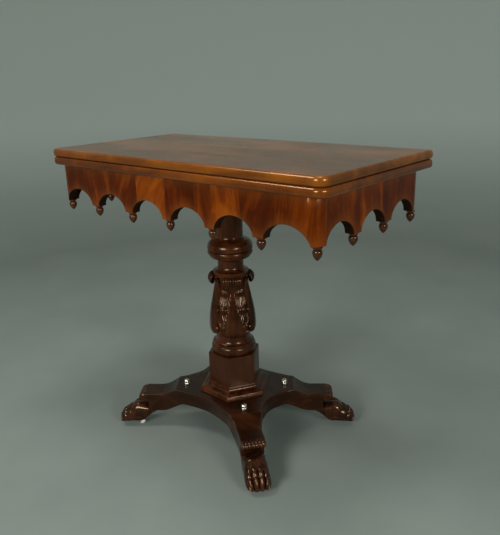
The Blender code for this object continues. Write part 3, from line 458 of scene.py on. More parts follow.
def polish_group():
    """French polish: broad soft waves in the film, a few dull clouds and fine rubbing marks."""
    tree, given, result = new_group(
        "french_polish", (("Place", "Vector", None), ("Gloss", "Float", 0.12), ("Dull", "Float", 0.2)),
        (("Roughness", "Float"), ("Height", "Float")))
    waves = noise(tree, given["Place"], scale=18.0, detail=2.0)
    clouds = fit(tree, noise(tree, given["Place"], scale=7.0, detail=4.0, rough=0.6), 0.4, 0.75)
    rubs = noise(tree, stretch(tree, given["Place"], (40.0, 700.0, 40.0)), detail=2.0)
    rough = plus(tree, times(tree, clouds, given["Dull"]), times(tree, rubs, 0.04))
    feed(tree, result, {"Roughness": plus(tree, rough, given["Gloss"]),
                        "Height": plus(tree, waves, times(tree, rubs, 0.02))})
    return tree


MAHOGANY = mahogany_group()
WAX_GROUP_WITH_PAINTED_LIGHT = wax_and_painted_light_group()
POLISH = polish_group()
print("node groups:", [group.name for group in (MAHOGANY, WAX_GROUP_WITH_PAINTED_LIGHT, POLISH)])

# %% [markdown]
# ## The wood finishes
# All the mahogany is one family: a grain group in its own direction, wax and painted shade in the hollows,
# wear and painted highlight on the crests, and a coat of polish over a duller body. Only the colours, the
# direction of the grain and the strength of the figure differ.


# %% Polished wood
LEVEL, UPRIGHT = (0.0, 0.0, 0.0), (0.0, QUARTER, 0.0)
GRAIN_DEPTH = 0.06 * MM
POLISH_WAVES = 6.0


def new_material(name):
    """A material, its node tree and its shader."""
    material = bpy.data.materials.new(name)
    material.use_nodes = True
    return material, material.node_tree, material.node_tree.nodes["Principled BSDF"]


def object_place(tree, turn=LEVEL, shift=(0.0, 0.0, 0.0)):
    """Object coordinates, moved and turned so that the grain runs along x."""
    place = add_node(tree, "TexCoord").outputs["Object"]
    return add_node(tree, "Mapping", {"Vector": place, "Rotation": turn, "Location": shift}).outputs[0]


def polish_wood(tree, shader, place, colour, grain_height, gloss, dull, coat=0.12, level=0.42,
                tint=(1.0, 0.66, 0.40)):
    """Coat, gloss and bump that every polished wood shares; the film tints what it reflects."""
    polish = use_group(tree, POLISH, {"Place": place, "Gloss": gloss, "Dull": dull})
    height = plus(tree, times(tree, polish["Height"], POLISH_WAVES), grain_height)
    feed(tree, shader.inputs, {
        "Base Color": colour, "Roughness": polish["Roughness"], "Coat Weight": coat, "Coat Roughness": 0.11,
        "Specular IOR Level": level, "Specular Tint": tint, "IOR": 1.45,
        "Normal": bumped(tree, height, 0.25, GRAIN_DEPTH)})


def wood_material(name, dark, middle, light, worn_and_highlight, bands=30.0, contrast=1.6, figure=0.4, turn=UPRIGHT,
                  shift=(0.0, 0.0, 0.0), wax_and_shade=0.9, wear_and_highlight=0.4, reach=0.25, **film):
    """Mahogany whose grain runs along the turned x axis of the object's own coordinates."""
    material, tree, shader = new_material(name)
    place = object_place(tree, turn, shift)
    grain = use_group(tree, MAHOGANY, {"Place": place, "Bands": bands, "Contrast": contrast,
                                       "Figure": figure, "Dark": dark, "Middle": middle, "Light": light})
    # The group paints shade into the hollows along with the wax, and highlight onto the crests along with
    # the wear.
    waxed_with_painted_light = use_group(tree, WAX_GROUP_WITH_PAINTED_LIGHT, {"Colour": grain["Colour"], "Reach": reach, "Wax and painted shade": wax_and_shade, "Wear and painted highlight": wear_and_highlight,
                                  "Worn and painted highlight": worn_and_highlight})
    polish_wood(tree, shader, place, waxed_with_painted_light["Colour"], grain["Height"], **film)
    return material


LEAF_FINISH = {"bands": 13.0, "contrast": 1.2, "figure": 0.5, "turn": LEVEL, "wax_and_shade": 0.5, "gloss": 0.18,
               "dull": 0.10, "coat": 0.3, "level": 0.75, "tint": (1.0, 0.5, 0.14)}
TOP_WOOD = wood_material("polished_top", (0.042, 0.0090, 0.0008), (0.120, 0.030, 0.0020),
                         (0.29, 0.085, 0.005), (0.38, 0.13, 0.012), shift=(0.3, 0.1, 0.0), **LEAF_FINISH)
LOWER_WOOD = wood_material("polished_lower_leaf", (0.028, 0.0048, 0.0004), (0.082, 0.0165, 0.0010),
                           (0.21, 0.052, 0.003), (0.30, 0.09, 0.008), shift=(0.7, 0.4, 0.0), **LEAF_FINISH)
COLUMN_WOOD = wood_material("column_mahogany", (0.007, 0.0014, 0.0005), (0.028, 0.0058, 0.0015),
                            (0.085, 0.021, 0.0045), (0.13, 0.036, 0.009), wear_and_highlight=0.12, gloss=0.19, dull=0.08)
CARVED_WOOD = wood_material("carved_mahogany", (0.005, 0.0011, 0.0004), (0.021, 0.0045, 0.0013),
                            (0.065, 0.017, 0.0042), (0.12, 0.036, 0.010), wax_and_shade=1.0, wear_and_highlight=0.2, reach=0.22,
                            gloss=0.13, dull=0.04, coat=0.05)
PAW_WOOD = wood_material("paw_mahogany", (0.003, 0.0008, 0.0003), (0.014, 0.0034, 0.0012),
                         (0.050, 0.014, 0.0040), (0.16, 0.050, 0.016), wax_and_shade=1.0, wear_and_highlight=0.5, reach=0.22,
                         gloss=0.15, dull=0.06, coat=0.15)
# Paler than the paw: the claws' colour paints in the highlight of their gloss.
CLAW_WOOD_WITH_PAINTED_SHEEN = wood_material("claw_mahogany_painted_sheen", (0.03, 0.012, 0.007), (0.09, 0.045, 0.028),
                          (0.20, 0.11, 0.07), (0.32, 0.19, 0.12), bands=26.0, figure=0.5, turn=LEVEL,
                          wear_and_highlight=0.6, gloss=0.15, dull=0.06, coat=0.6)
BLOCK_WOOD = wood_material("block_mahogany", (0.002, 0.0005, 0.0002), (0.007, 0.0015, 0.0005),
                           (0.030, 0.0075, 0.0022), (0.06, 0.016, 0.005), bands=52.0, contrast=1.9,
                           figure=0.25, wax_and_shade=0.7, wear_and_highlight=0.5, gloss=0.22, dull=0.1)
PLATFORM_WOOD = wood_material("platform_mahogany", (0.004, 0.0009, 0.0003), (0.015, 0.0034, 0.0010),
                              (0.042, 0.0110, 0.0030), (0.08, 0.024, 0.007), bands=22.0, figure=0.6,
                              turn=LEVEL, wax_and_shade=0.8, gloss=0.22, dull=0.12)
PENDANT_WOOD = wood_material("pendant_mahogany", (0.008, 0.0016, 0.0005), (0.030, 0.0062, 0.0015),
                             (0.08, 0.020, 0.0045), (0.15, 0.045, 0.011), bands=40.0, gloss=0.14,
                             dull=0.06, coat=0.35)
WOODS = (TOP_WOOD, LOWER_WOOD, COLUMN_WOOD, CARVED_WOOD, PAW_WOOD, CLAW_WOOD_WITH_PAINTED_SHEEN, BLOCK_WOOD, PLATFORM_WOOD,
         PENDANT_WOOD)
print("woods:", [wood.name for wood in WOODS])

# %% [markdown]
# ## The veneer of the frieze
# The frieze is faced with sawn veneer whose grain stands upright, in leaves laid
# side by side. A seam shows as a jump in tone and slant, and some seams as a fine
# dark line too. The pattern has to follow the board round its rounded corners, so
# the board carries an attribute with the distance along it, its depth and its
# height, and a colour ramp with hard steps tells the leaf from the distance.

# %% Veneer leaves
# A leaf is the place where it starts, in metres along the frieze from the middle of
# the front, then its tone, from dark to pale, and the slant of its grain.
VENEER_LEAVES = ((-0.78, 0.45, 0.0), (-0.60, 0.50, 0.1), (-0.419, 0.30, 0.0), (-0.297, 0.46, 0.1),
                 (-0.195, 0.40, -0.4), (-0.10, 0.68, -0.45), (0.0, 0.30, 0.0), (0.088, 0.40, 0.05),
                 (0.135, 0.70, 0.1), (0.219, 0.27, -0.35), (0.30, 0.36, -0.1), (0.419, 0.46, 0.05),
                 (0.532, 0.76, 0.2), (0.621, 0.26, 0.0))
VENEER_SPAN = 0.78
SEAM_PLACES = (-0.621, -0.419, -0.195, 0.0, 0.088, 0.219, 0.419, 0.621)
SEAM_HALF_WIDTH, SEAM_FADED = 0.2 * MM, 0.8 * MM
FACE_DEPTH = 30.0 * MM
FRIEZE_MIDDLE = 0.655
LEAF_CURL, LEAF_SHIFT = 4.0, 3.0
DARK_LEAF, PALE_LEAF = 0.25, 0.78


def veneer_leaves(tree, along):
    """The tone and the slant of the leaf that a distance along the frieze falls in."""
    made = add_node(tree, "ValToRGB", {"Fac": fit(tree, along, -VENEER_SPAN, VENEER_SPAN)})
    ramp = made.color_ramp
    ramp.interpolation = "CONSTANT"
    while len(ramp.elements) < len(VENEER_LEAVES):
        ramp.elements.new(0.5)
    for element, (start, tone, slant) in zip(ramp.elements, VENEER_LEAVES):
        element.position = (start + VENEER_SPAN) / (2 * VENEER_SPAN)
        element.color = (tone, 0.5 + slant / 2, 0, 1)
    parts = add_node(tree, "SeparateColor", {0: made.outputs["Color"]}).outputs
    return parts["Red"], fit(tree, parts["Green"], 0.0, 1.0, -1.0, 1.0)


def seam_lines(tree, along):
    """1 on a joint between two leaves, fading to 0 beside it."""
    nearest = 1.0
    for seam in SEAM_PLACES:
        nearest = calc(tree, "MINIMUM", nearest, calc(tree, "ABSOLUTE", minus(tree, along, seam)))
    return fit(tree, nearest, SEAM_HALF_WIDTH, SEAM_FADED, 1.0, 0.0)


def veneer_place(tree, along, deep, height, tone, slant):
    """Grain coordinates: up the board, leaning and curling with the slant, moved on for every tone."""
    rise = minus(tree, height, FRIEZE_MIDDLE)
    curl = times(tree, times(tree, rise, rise), times(tree, slant, LEAF_CURL))
    across = plus(tree, plus(tree, along, times(tree, rise, slant)), curl)
    across = plus(tree, across, times(tree, tone, LEAF_SHIFT))
    return add_node(tree, "CombineXYZ", {"X": height, "Y": across, "Z": deep}).outputs[0]


def veneer_material(name):
    """Upright mahogany in leaves, each with its own tone and slant; off the polished face, the sawn edges
    and the inside of the board are painted near black as shade, and made rougher.
    """
    material, tree, shader = new_material(name)
    board = add_node(tree, "Attribute", attribute_name="grain", attribute_type="GEOMETRY").outputs["Vector"]
    along, deep, height = add_node(tree, "SeparateXYZ", {0: board}).outputs
    tone, slant = veneer_leaves(tree, along)
    grain = use_group(tree, MAHOGANY, {
        "Place": veneer_place(tree, along, deep, height, tone, slant), "Bands": 30.0, "Contrast": 0.85,
        "Figure": 0.6, "Dark": (0.028, 0.0032, 0.0002), "Middle": (0.125, 0.0195, 0.0006),
        "Light": (0.36, 0.080, 0.0015)})
    toned = mix_colour(tree, fit(tree, tone, DARK_LEAF, PALE_LEAF, 1.0, 0.0), grain["Colour"],
                       (0.40, 0.27, 0.20), "MULTIPLY")
    seamed = mix_colour(tree, times(tree, seam_lines(tree, along), 0.6), toned, (0.015, 0.005, 0.002))
    waxed_with_painted_light = use_group(tree, WAX_GROUP_WITH_PAINTED_LIGHT, {"Colour": seamed, "Reach": 0.35, "Wax and painted shade": 0.6, "Wear and painted highlight": 0.3,
                                  "Worn and painted highlight": (0.34, 0.13, 0.03)})
    face = fit(tree, deep, FACE_DEPTH - 1.2 * MM, FACE_DEPTH - 0.4 * MM)
    # Painted shade: everything off the polished face, the sawn edges and the inside, is near black.
    colour_with_painted_edge_shade = mix_colour(tree, face, (0.012, 0.005, 0.003), waxed_with_painted_light["Colour"])
    polish_wood(tree, shader, add_node(tree, "TexCoord").outputs["Object"], colour_with_painted_edge_shade, grain["Height"],
                gloss=0.26, dull=0.15, level=0.25, tint=(1.0, 0.5, 0.2))
    polished = shader.inputs["Roughness"].links[0].from_socket
    sawn = times(tree, minus(tree, 1.0, face), 0.45)
    feed(tree, shader.inputs, {"Roughness": plus(tree, polished, sawn, clamp=True),
                               "Coat Weight": times(tree, face, 0.03)})
    return material


VENEER = veneer_material("frieze_veneer")
print("veneer leaves:", len(VENEER_LEAVES), "dark seams:", len(SEAM_PLACES))


# %% [markdown]
# ## Metal, china and pine
# The hinges, studs and casters are brass with a tarnish in clouds, and tarnish and painted shade in the
# hollows; the pins and the pivot are plain steel with turning marks; the caster wheels are glazed china;
# and the frame inside is unpolished pine.


# %% Metals, china and pine
def metal_material(name, bright, tarnish, rough, marks):
    """Bright metal with clouds of tarnish, and fine marks that roughen it in one direction."""
    material, tree, shader = new_material(name)
    place = object_place(tree)
    clouds = fit(tree, noise(tree, place, scale=60.0, detail=5.0, rough=0.6), 0.42, 0.72)
    lines = noise(tree, stretch(tree, place, marks), detail=2.0)
    colour = mix_colour(tree, times(tree, clouds, 0.55), bright, tarnish)
    # Near black in the hollows is tarnish and painted shade; bright metal on the crests is wear and painted
    # highlight.
    waxed_with_painted_light = use_group(tree, WAX_GROUP_WITH_PAINTED_LIGHT, {"Colour": colour, "Reach": 0.3, "Wax and painted shade": 0.6, "Wear and painted highlight": 0.5, "Worn and painted highlight": bright})
    feed(tree, shader.inputs, {"Base Color": waxed_with_painted_light["Colour"], "Metallic": 1.0,
                               "Roughness": plus(tree, times(tree, plus(tree, clouds, lines), 0.12), rough),
                               "Normal": bumped(tree, lines, 0.15, 0.05 * MM)})
    return material


def china_material():
    """White glazed china, a little grey with dust and crazed very finely."""
    material, tree, shader = new_material("glazed_china")
    place = object_place(tree)
    dust = fit(tree, noise(tree, place, scale=120.0, detail=4.0), 0.45, 0.75)
    crackle = add_node(tree, "TexVoronoi", {"Vector": place, "Scale": 500.0}, feature="DISTANCE_TO_EDGE")
    feed(tree, shader.inputs, {
        "Base Color": mix_colour(tree, times(tree, dust, 0.4), (0.82, 0.80, 0.74), (0.45, 0.41, 0.34)),
        "Roughness": plus(tree, times(tree, dust, 0.3), 0.12),
        "Normal": bumped(tree, crackle.outputs["Distance"], 0.05, 0.02 * MM)})
    return material


def pine_material(name, turn):
    """Sawn pine: wide pale bands, darker late wood, and a dry uneven surface."""
    material, tree, shader = new_material(name)
    place = object_place(tree, turn)
    grain = use_group(tree, MAHOGANY, {"Place": place, "Bands": 45.0, "Figure": 0.2,
                                       "Dark": (0.20, 0.10, 0.04), "Middle": (0.42, 0.26, 0.12),
                                       "Light": (0.55, 0.38, 0.20)})
    grime = fit(tree, noise(tree, place, scale=9.0, detail=5.0), 0.45, 0.75)
    feed(tree, shader.inputs, {
        "Base Color": mix_colour(tree, times(tree, grime, 0.5), grain["Colour"], (0.15, 0.09, 0.05)),
        "Roughness": plus(tree, times(tree, grain["Tone"], 0.15), 0.6),
        "Normal": bumped(tree, grain["Height"], 0.5, 0.3 * MM)})
    return material


BRASS = metal_material("old_brass", (0.80, 0.62, 0.30), (0.28, 0.17, 0.06), 0.18, (900, 60, 60))
STUD_BRASS = metal_material("stud_brass", (0.90, 0.86, 0.74), (0.45, 0.37, 0.24), 0.12, (60, 60, 900))
STEEL = metal_material("plain_steel", (0.50, 0.49, 0.47), (0.16, 0.12, 0.09), 0.30, (60, 60, 1200))
CHINA = china_material()
PINE_ACROSS = pine_material("pine_across", (0.0, 0.0, QUARTER))
PINE_ALONG = pine_material("pine_along", LEVEL)
print("other finishes:", [made.name for made in (BRASS, STUD_BRASS, STEEL, CHINA, PINE_ACROSS, PINE_ALONG)])

# %% [markdown]
# ## The folding top
# Two leaves of solid mahogany lie one on the other. Their front and side edges
# are worked to a full round nose, and the back edges, where the hinges are, stay
# square. The outline is drawn one nose inside the true edge; a profile then
# pushes each point out, except along the back.

# %% Leaves
NOSE = 7.5 * MM
TOP_CORNER = 24.0 * MM
NOSE_FULLNESS = 2.5
INNER_SHARES = (0.0, 0.5, 0.9, 0.99)
SIDE_STEPS, BEND_STEPS, FRONT_STEPS, BACK_STEPS = 30, 25, 40, 60


def leaf_outline(low, high):
    """Base points and the way each is pushed: sides, round front corners and front; not the back."""
    right, back = high[0] - NOSE, high[1]
    corner = TOP_CORNER - NOSE
    front = low[1] + NOSE
    turn = np.linspace(0, QUARTER, BEND_STEPS)
    push_bend = np.stack([np.cos(turn), -np.sin(turn)], 1)
    side = np.stack([np.full(SIDE_STEPS, right), np.linspace(back, front + corner, SIDE_STEPS)], 1)
    bend = np.array([right - corner, front + corner]) + corner * push_bend
    half_front = np.stack([np.linspace(right - corner, 0, FRONT_STEPS), np.full(FRONT_STEPS, front)], 1)
    base = np.concatenate([side, bend[1:], half_front[1:]])
    push = np.concatenate([np.tile([1.0, 0.0], (SIDE_STEPS, 1)), push_bend[1:],
                           np.tile([0.0, -1.0], (FRONT_STEPS - 1, 1))])
    mirrored = np.array([-1.0, 1.0])
    base = np.concatenate([base, base[-2::-1] * mirrored])
    push = np.concatenate([push, push[-2::-1] * mirrored])
    rear = np.stack([np.linspace(-right, right, BACK_STEPS), np.full(BACK_STEPS, back)], 1)
    return np.concatenate([base, rear]), np.concatenate([push, np.zeros((BACK_STEPS, 2))])


def leaf_shape(node):
    """Rings from the middle of the top, round the nose, to the middle of the underside."""
    low, high = (np.array(corner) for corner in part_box(node))
    base, push = leaf_outline(low, high)
    centre = np.array([0.0, (low[1] + high[1]) / 2])
    middle, half = (low[2] + high[2]) / 2, (high[2] - low[2]) / 2
    angle = np.linspace(QUARTER, -QUARTER, 25)
    reach = power(np.cos(angle), 2 / NOSE_FULLNESS) * NOSE
    level = middle + power(np.sin(angle), 2 / NOSE_FULLNESS) * half
    rings = [np.column_stack([centre + (base - centre) * s, np.full(len(base), high[2])])
             for s in INNER_SHARES]
    rings += [np.column_stack([base + push * r, np.full(len(base), z)]) for r, z in zip(reach, level)]
    rings += [np.column_stack([centre + (base - centre) * s, np.full(len(base), low[2])])
              for s in INNER_SHARES[::-1]]
    return skin(np.stack(rings))


# %% Recesses in the leaves, and the finished leaves
def hinge_recess(side):
    """Room for both plates of one hinge, and behind them a deeper slot for the knuckle."""
    lower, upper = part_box("hinge_lower_plate_" + side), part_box("hinge_upper_plate_" + side)
    _, axis_y, axis_z = middle_of("hinge_pin_" + side)
    x0, x1 = lower[0][0] - GAP, lower[1][0] + GAP
    barrel = lower[1][1] - axis_y + 2 * GAP
    plates = block((x0, lower[0][1], lower[0][2] - GAP), (x1, lower[1][1] + NOSE, upper[1][2] + GAP))
    slot = block((x0, axis_y - barrel, axis_z - barrel), (x1, axis_y + NOSE, axis_z + barrel))
    return plates, slot


def pivot_recess():
    """A shallow round sinking for the plate, and a deeper one for the head of the bolt."""
    plate_low, plate_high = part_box("pivot_plate")
    bolt_low, bolt_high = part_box("pivot_bolt")
    plate = (plate_high[0] - plate_low[0]) / 2 + GAP
    head = (bolt_high[0] - bolt_low[0]) / 2 + GAP
    roof, step, mouth = bolt_high[2] + GAP, plate_high[2] + GAP, plate_low[2] - NOSE
    profile = np.array([(0, roof), (head, roof), (head, step), (plate, step), (plate, mouth), (0, mouth)])
    return lathe(profile, 64, middle_of("pivot_plate")[:2])


for leaf, body, wood in (("upper_leaf", "upper_top", TOP_WOOD), ("lower_leaf", "lower_top", LOWER_WOOD)):
    board = raw_piece(leaf + "_board", leaf_shape(leaf))
    for side in ("left", "right"):
        for recess in hinge_recess(side):
            carve(board, recess)
    if leaf == "lower_leaf":
        carve(board, pivot_recess())
    finish_piece(board, wood, body, (leaf,), angle=35.0)
    print(leaf, "faces:", len(board.data.polygons))

# %% [markdown]
# ## The arcaded frieze
# Four boards make the frame. The long ones turn the corners, and all are sawn to
# a row of flattened arches that spring from small shoulders. Each board is a
# section carried along its path. The section's lower edge follows the arch
# above each point, so the sawn edge is true on the inside as well.

# %% Sizes of the frieze
FRIEZE_LOW, FRIEZE_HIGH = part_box("front_frieze")
FRIEZE_BOTTOM, FRIEZE_TOP = FRIEZE_LOW[2], FRIEZE_HIGH[2]
FRIEZE_X, FRIEZE_Y = FRIEZE_HIGH[0], -FRIEZE_LOW[1]
CORNER_RADIUS = 30.0 * MM
BOARD = 22.0 * MM
CORNER_X, CORNER_Y = FRIEZE_X - CORNER_RADIUS, FRIEZE_Y - CORNER_RADIUS
ARCH_RISE = 36.0 * MM
ARCH_FULLNESS = 1.85
SHOULDER = 13.0 * MM
CORNER_SHOULDER = 6.0 * MM
EDGE = 0.7 * MM
PENDANTS = [name for name in frame["nodes"] if name.startswith("pendant_")]
FRONT_STATIONS = sorted(middle_of(name)[0] for name in PENDANTS if name.startswith("pendant_front"))
CORNER_STATION = middle_of("pendant_back_corner_right")[1]
SIDE_STATIONS = [-CORNER_STATION, middle_of("pendant_right_front")[1],
                 middle_of("pendant_right_back")[1], CORNER_STATION]


def spans(stations, end_shoulder):
    """Where each arch starts and stops between the shoulders over the pendants."""
    room = [end_shoulder] + [SHOULDER] * (len(stations) - 2) + [end_shoulder]
    return [(stations[i] + room[i], stations[i + 1] - room[i + 1]) for i in range(len(stations) - 1)]


FRONT_ARCHES = spans(FRONT_STATIONS, CORNER_SHOULDER)
SIDE_ARCHES = spans(SIDE_STATIONS, SHOULDER)
print("arches on the front:", len(FRONT_ARCHES), "and on each side:", len(SIDE_ARCHES))


# %% Boards
ARCH_STEPS, STRAIGHT_STEPS = 41, 60
SAWN_EASE = 0.012
FACE_SHARES = (0.25, 0.5, 0.75, 0.985, 1.0)
INSIDE_SHARES = (1.0, 0.75, 0.5, 0.25, 0.1)


def arch_over(place, arches):
    """Height of the arch: rise x (1 - |t|^n)^(1/n), where t runs from -1 to 1 across its span."""
    height = np.zeros_like(place)
    for start, stop in arches:
        t = np.clip((place - (start + stop) / 2) / ((stop - start) / 2), -1, 1)
        height = np.maximum(height, ARCH_RISE * (1 - np.abs(t)**ARCH_FULLNESS)**(1 / ARCH_FULLNESS))
    return height


def arch_places(arches):
    """Stations that crowd towards the steep ends of every arch."""
    angle = np.linspace(0, math.pi, ARCH_STEPS)
    share = -power(np.cos(angle), 2 / ARCH_FULLNESS)
    return np.concatenate([(a + b) / 2 + (b - a) / 2 * share for a, b in arches])


# %% A board from its section and its path
def board_shape(centre, out, along, measure, arches):
    """centre + out x depth gives a point of the section; its lower edge follows the arch there.

    The section crosses the sawn edge, climbs the face, and comes back over the top and down inside.
    """
    inner, outer = CORNER_RADIUS - BOARD, CORNER_RADIUS
    sawn = inner + np.array([0, EDGE, BOARD * 0.25, BOARD * 0.5, BOARD * 0.75, BOARD - EDGE, BOARD])
    ring_depth = np.concatenate([sawn, [outer] * 4, [outer - EDGE], sawn[-2:0:-1], [inner] * 5])
    share = np.concatenate([[SAWN_EASE], np.zeros(5), [SAWN_EASE], FACE_SHARES, np.ones(5), INSIDE_SHARES])
    place = centre[:, None, :] + out[:, None, :] * ring_depth[None, :, None]
    bottom = FRIEZE_BOTTOM + arch_over(place[..., measure], arches)
    height = bottom + (FRIEZE_TOP - bottom) * share
    points = np.concatenate([place, height[..., None]], axis=-1)
    grain = np.stack([np.broadcast_to(along[:, None], height.shape),
                      np.broadcast_to(ring_depth, height.shape), height], axis=-1)
    return skin(points), grain.reshape(-1, 3)


# %% The four boards
def front_path():
    """Half round the right corner, along the front and half round the left corner."""
    straight = np.linspace(-CORNER_X, CORNER_X, STRAIGHT_STEPS)
    straight = np.concatenate([arch_places(FRONT_ARCHES), straight])
    straight = np.unique(np.round(straight, 6))
    curved = straight[straight > CORNER_X] - CORNER_X
    straight = straight[np.abs(straight) <= CORNER_X]
    even = np.linspace(0, QUARTER, BEND_STEPS)[1:]
    turn = np.unique(np.concatenate([even, np.arcsin(curved / CORNER_RADIUS)]))
    centre = np.concatenate([np.tile([-CORNER_X, -CORNER_Y], (len(turn), 1)),
                             np.column_stack([straight, np.full(len(straight), -CORNER_Y)]),
                             np.tile([CORNER_X, -CORNER_Y], (len(turn), 1))])
    right = np.column_stack([np.sin(turn), -np.cos(turn)])
    out = np.concatenate([right[::-1] * (-1, 1), np.tile([0.0, -1.0], (len(straight), 1)), right])
    bent = CORNER_X + CORNER_RADIUS * turn
    return centre, out, np.concatenate([-bent[::-1], straight, bent])


centre, out, along = front_path()
for name, sign in (("front_frieze", 1), ("back_frieze", -1)):
    flip = np.array([sign, sign])
    shape, grain = board_shape(centre * flip, out * flip, along, 0, FRONT_ARCHES)
    make_piece(name + "_board", shape, VENEER, "base", (name,), grain=grain)
CORNER_ALONG = CORNER_X + CORNER_RADIUS * QUARTER + CORNER_Y
SIDE_END = CORNER_Y - GAP
side_y = np.concatenate([arch_places(SIDE_ARCHES), np.linspace(-SIDE_END, SIDE_END, SIDE_STEPS + 10)])
side_y = np.unique(np.round(side_y[np.abs(side_y) <= SIDE_END], 6))
for name, sign in (("right_frieze", 1), ("left_frieze", -1)):
    centre = np.column_stack([np.full(len(side_y), sign * CORNER_X), side_y])
    out = np.tile([float(sign), 0.0], (len(side_y), 1))
    shape, grain = board_shape(centre, out, sign * (CORNER_ALONG + side_y), 1, SIDE_ARCHES)
    make_piece(name + "_board", shape, VENEER, "base", (name,), grain=grain)
print("frieze boards end", FRIEZE_BOTTOM, "m above the floor")

# %% [markdown]
# ## Acorn pendants
# Each shoulder ends in a small turned acorn: a flange under the board, a short
# neck and a full nut that comes to a point. They are plain lathe work, so one
# profile serves them all.

# %% Pendants
ACORN_KNOTS = ((6.6, -5.4), (8.3, -6.6), (9.3, -8.8), (9.6, -11.4), (9.3, -14.4), (8.3, -17.6),
               (6.7, -20.6), (4.7, -23.2), (2.6, -25.4), (1.0, -26.6), (0.0, -26.9))
PENDANT_PROFILE = np.concatenate([
    moulding((0, 0), (10.0, 0), ("bead", 8.8, -3.2, 0.4), ("across", 6.6, -4.6)),
    spline(ACORN_KNOTS, 6) * MM])
for name in PENDANTS:
    x, y, _ = middle_of(name)
    profile = PENDANT_PROFILE + (0.0, FRIEZE_BOTTOM - GAP)
    make_piece(name.replace("pendant", "acorn"), lathe(profile, 40, (x, y)), PENDANT_WOOD, "base",
               (name,))
print("pendants:", len(PENDANTS))

# %% [markdown]
# ## The column
# The shaft is one long turning: a plain neck, a collar of two rounds, a hollow
# with a small ring, the swelling body that the leaves are carved from, and a
# double round at the foot. The profile is a chain of named cuts; the swelling
# body is a smooth curve through a few radii.

# %% Turned shaft
BLOCK_LOW, BLOCK_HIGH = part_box("plinth_block")
BEARER_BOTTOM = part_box("pillar_bearer")[0][2]
PILLAR_FOOT = (BLOCK_HIGH[2] + GAP) / MM
PILLAR_HEAD = (BEARER_BOTTOM - GAP) / MM
BODY_KNOTS = ((38.0, 427), (36.6, 414), (37.4, 400), (40.6, 376), (44.6, 352), (48.4, 328),
              (50.0, 304), (48.8, 288), (46.0, 275), (44.4, 266), (44.2, 261))


def pillar_profile():
    """Neck, collar, hollow and ring; then the body; then the cove, the round and the foot."""
    upper = moulding(
        (0, PILLAR_HEAD), (33.7, PILLAR_HEAD), (33.3, 529.5), ("down", 41.5, 521.2), (47.0, 519.0),
        (51.8, 515.4), (54.6, 511.2), (55.9, 507.4), (56.5, 503.6), (56.5, 497.6), (54.2, 494.2),
        ("bead", 53.8, 483.4, 2.7), (52.5, 482.0), ("down", 43.0, 474.5), ("across", 32.4, 467),
        (32.4, 453), ("down", 44.6, 440.4), (45.0, 440.0), (45.0, 429.6), (39.0, 428.0))
    body = spline(BODY_KNOTS, 8) * MM
    lower = moulding(
        (44.2, 261), ("down", 52.6, 248.6), (53.6, 248.0), (54.0, 242.6),
        ("bead", 54.2, PILLAR_FOOT + 0.6, 3.6), (53.6, PILLAR_FOOT), (0, PILLAR_FOOT))
    return np.concatenate([upper, body, lower[1:]])


shaft = make_piece("turned_shaft", lathe(pillar_profile(), 120), COLUMN_WOOD, "base",
                   ("pillar",), 32.0)
print("shaft faces:", len(shaft.data.polygons))

# %% [markdown]
# ## Acanthus leaves
# Four leaves climb the body of the column and curl over under the ring. A leaf
# is a ribbon that follows a path up the shaft. Across it the surface is crowned,
# with a rib in the middle. From the rib, fingers with flutes on them climb
# outwards, and the edge is notched between the fingers. All of that is one height
# function of the two parameters, p up the leaf and q across it.

# %% Sizes of a leaf, in mm, and shares of its length and width
LEAF_PATH = ((51.4, 274), (56.0, 275.6), (58.8, 283), (59.6, 294), (59.2, 308), (57.8, 323), (54.4, 344),
             (50.2, 364), (46.4, 383), (43.8, 400), (43.8, 412), (45.2, 421), (47.6, 426.4), (51.0, 428.4),
             (54.0, 425.6), (55.0, 420), (53.8, 415.2), (51.2, 413.4), (48.8, 415.4), (48.4, 419.2))
LEAF_HALF_WIDTH = (20, 33, 41, 45, 46, 45, 42.5, 39, 35.5, 32, 29, 26, 24.5, 24, 23.5, 23, 22, 20, 17, 14)
LEAF_THICKNESS = (4, 7, 9, 11, 12, 12, 11, 10, 8, 6.5, 5.5, 5, 4.4, 4.2, 4.2, 4, 3.6, 3, 2.4, 2)
LEAF_ROWS, LEAF_COLUMNS, LEAF_BACK_COLUMNS = 370, 171, 81
FINGERS, FLUTES, CLIMB = 4.0, 11.0, 0.66
FINGER_HEIGHT, FLUTE_DEPTH, CARVED_DEPTH = 0.9, 2.0, 0.7
CROWN, CROWN_POWER = 3.2, 2.6
RIB_HEIGHT, RIB_SPREAD = 0.8, 0.07
PLAIN_MIDDLE, CARVED_FROM, CARVED_TO = 0.62, 0.03, 0.68
NOTCH_SHARE, NOTCH_SPREAD = 0.13, 0.16
TIP_TEETH, TOOTH_HEIGHT = 8, 1.9
FOOT_LOBES, LOBE_SHARE = 5, 0.030
NARROWEST_RADIUS = 30.0
print("a leaf climbs from", LEAF_PATH[0][1], "to", max(height for _, height in LEAF_PATH), "mm")


# %% The carving of a leaf
def bell(value, middle, spread):
    """A bell curve: 1 at the middle, and about a third at the spread to either side."""
    return np.exp(-((value - middle) / spread)**2)


def scallops(q, count):
    """1 between neighbouring arcs and 0 at their tops, for a number of arcs across q from -1 to 1."""
    return 1 - np.abs(np.sin(math.pi * count * (q + 1) / 2))


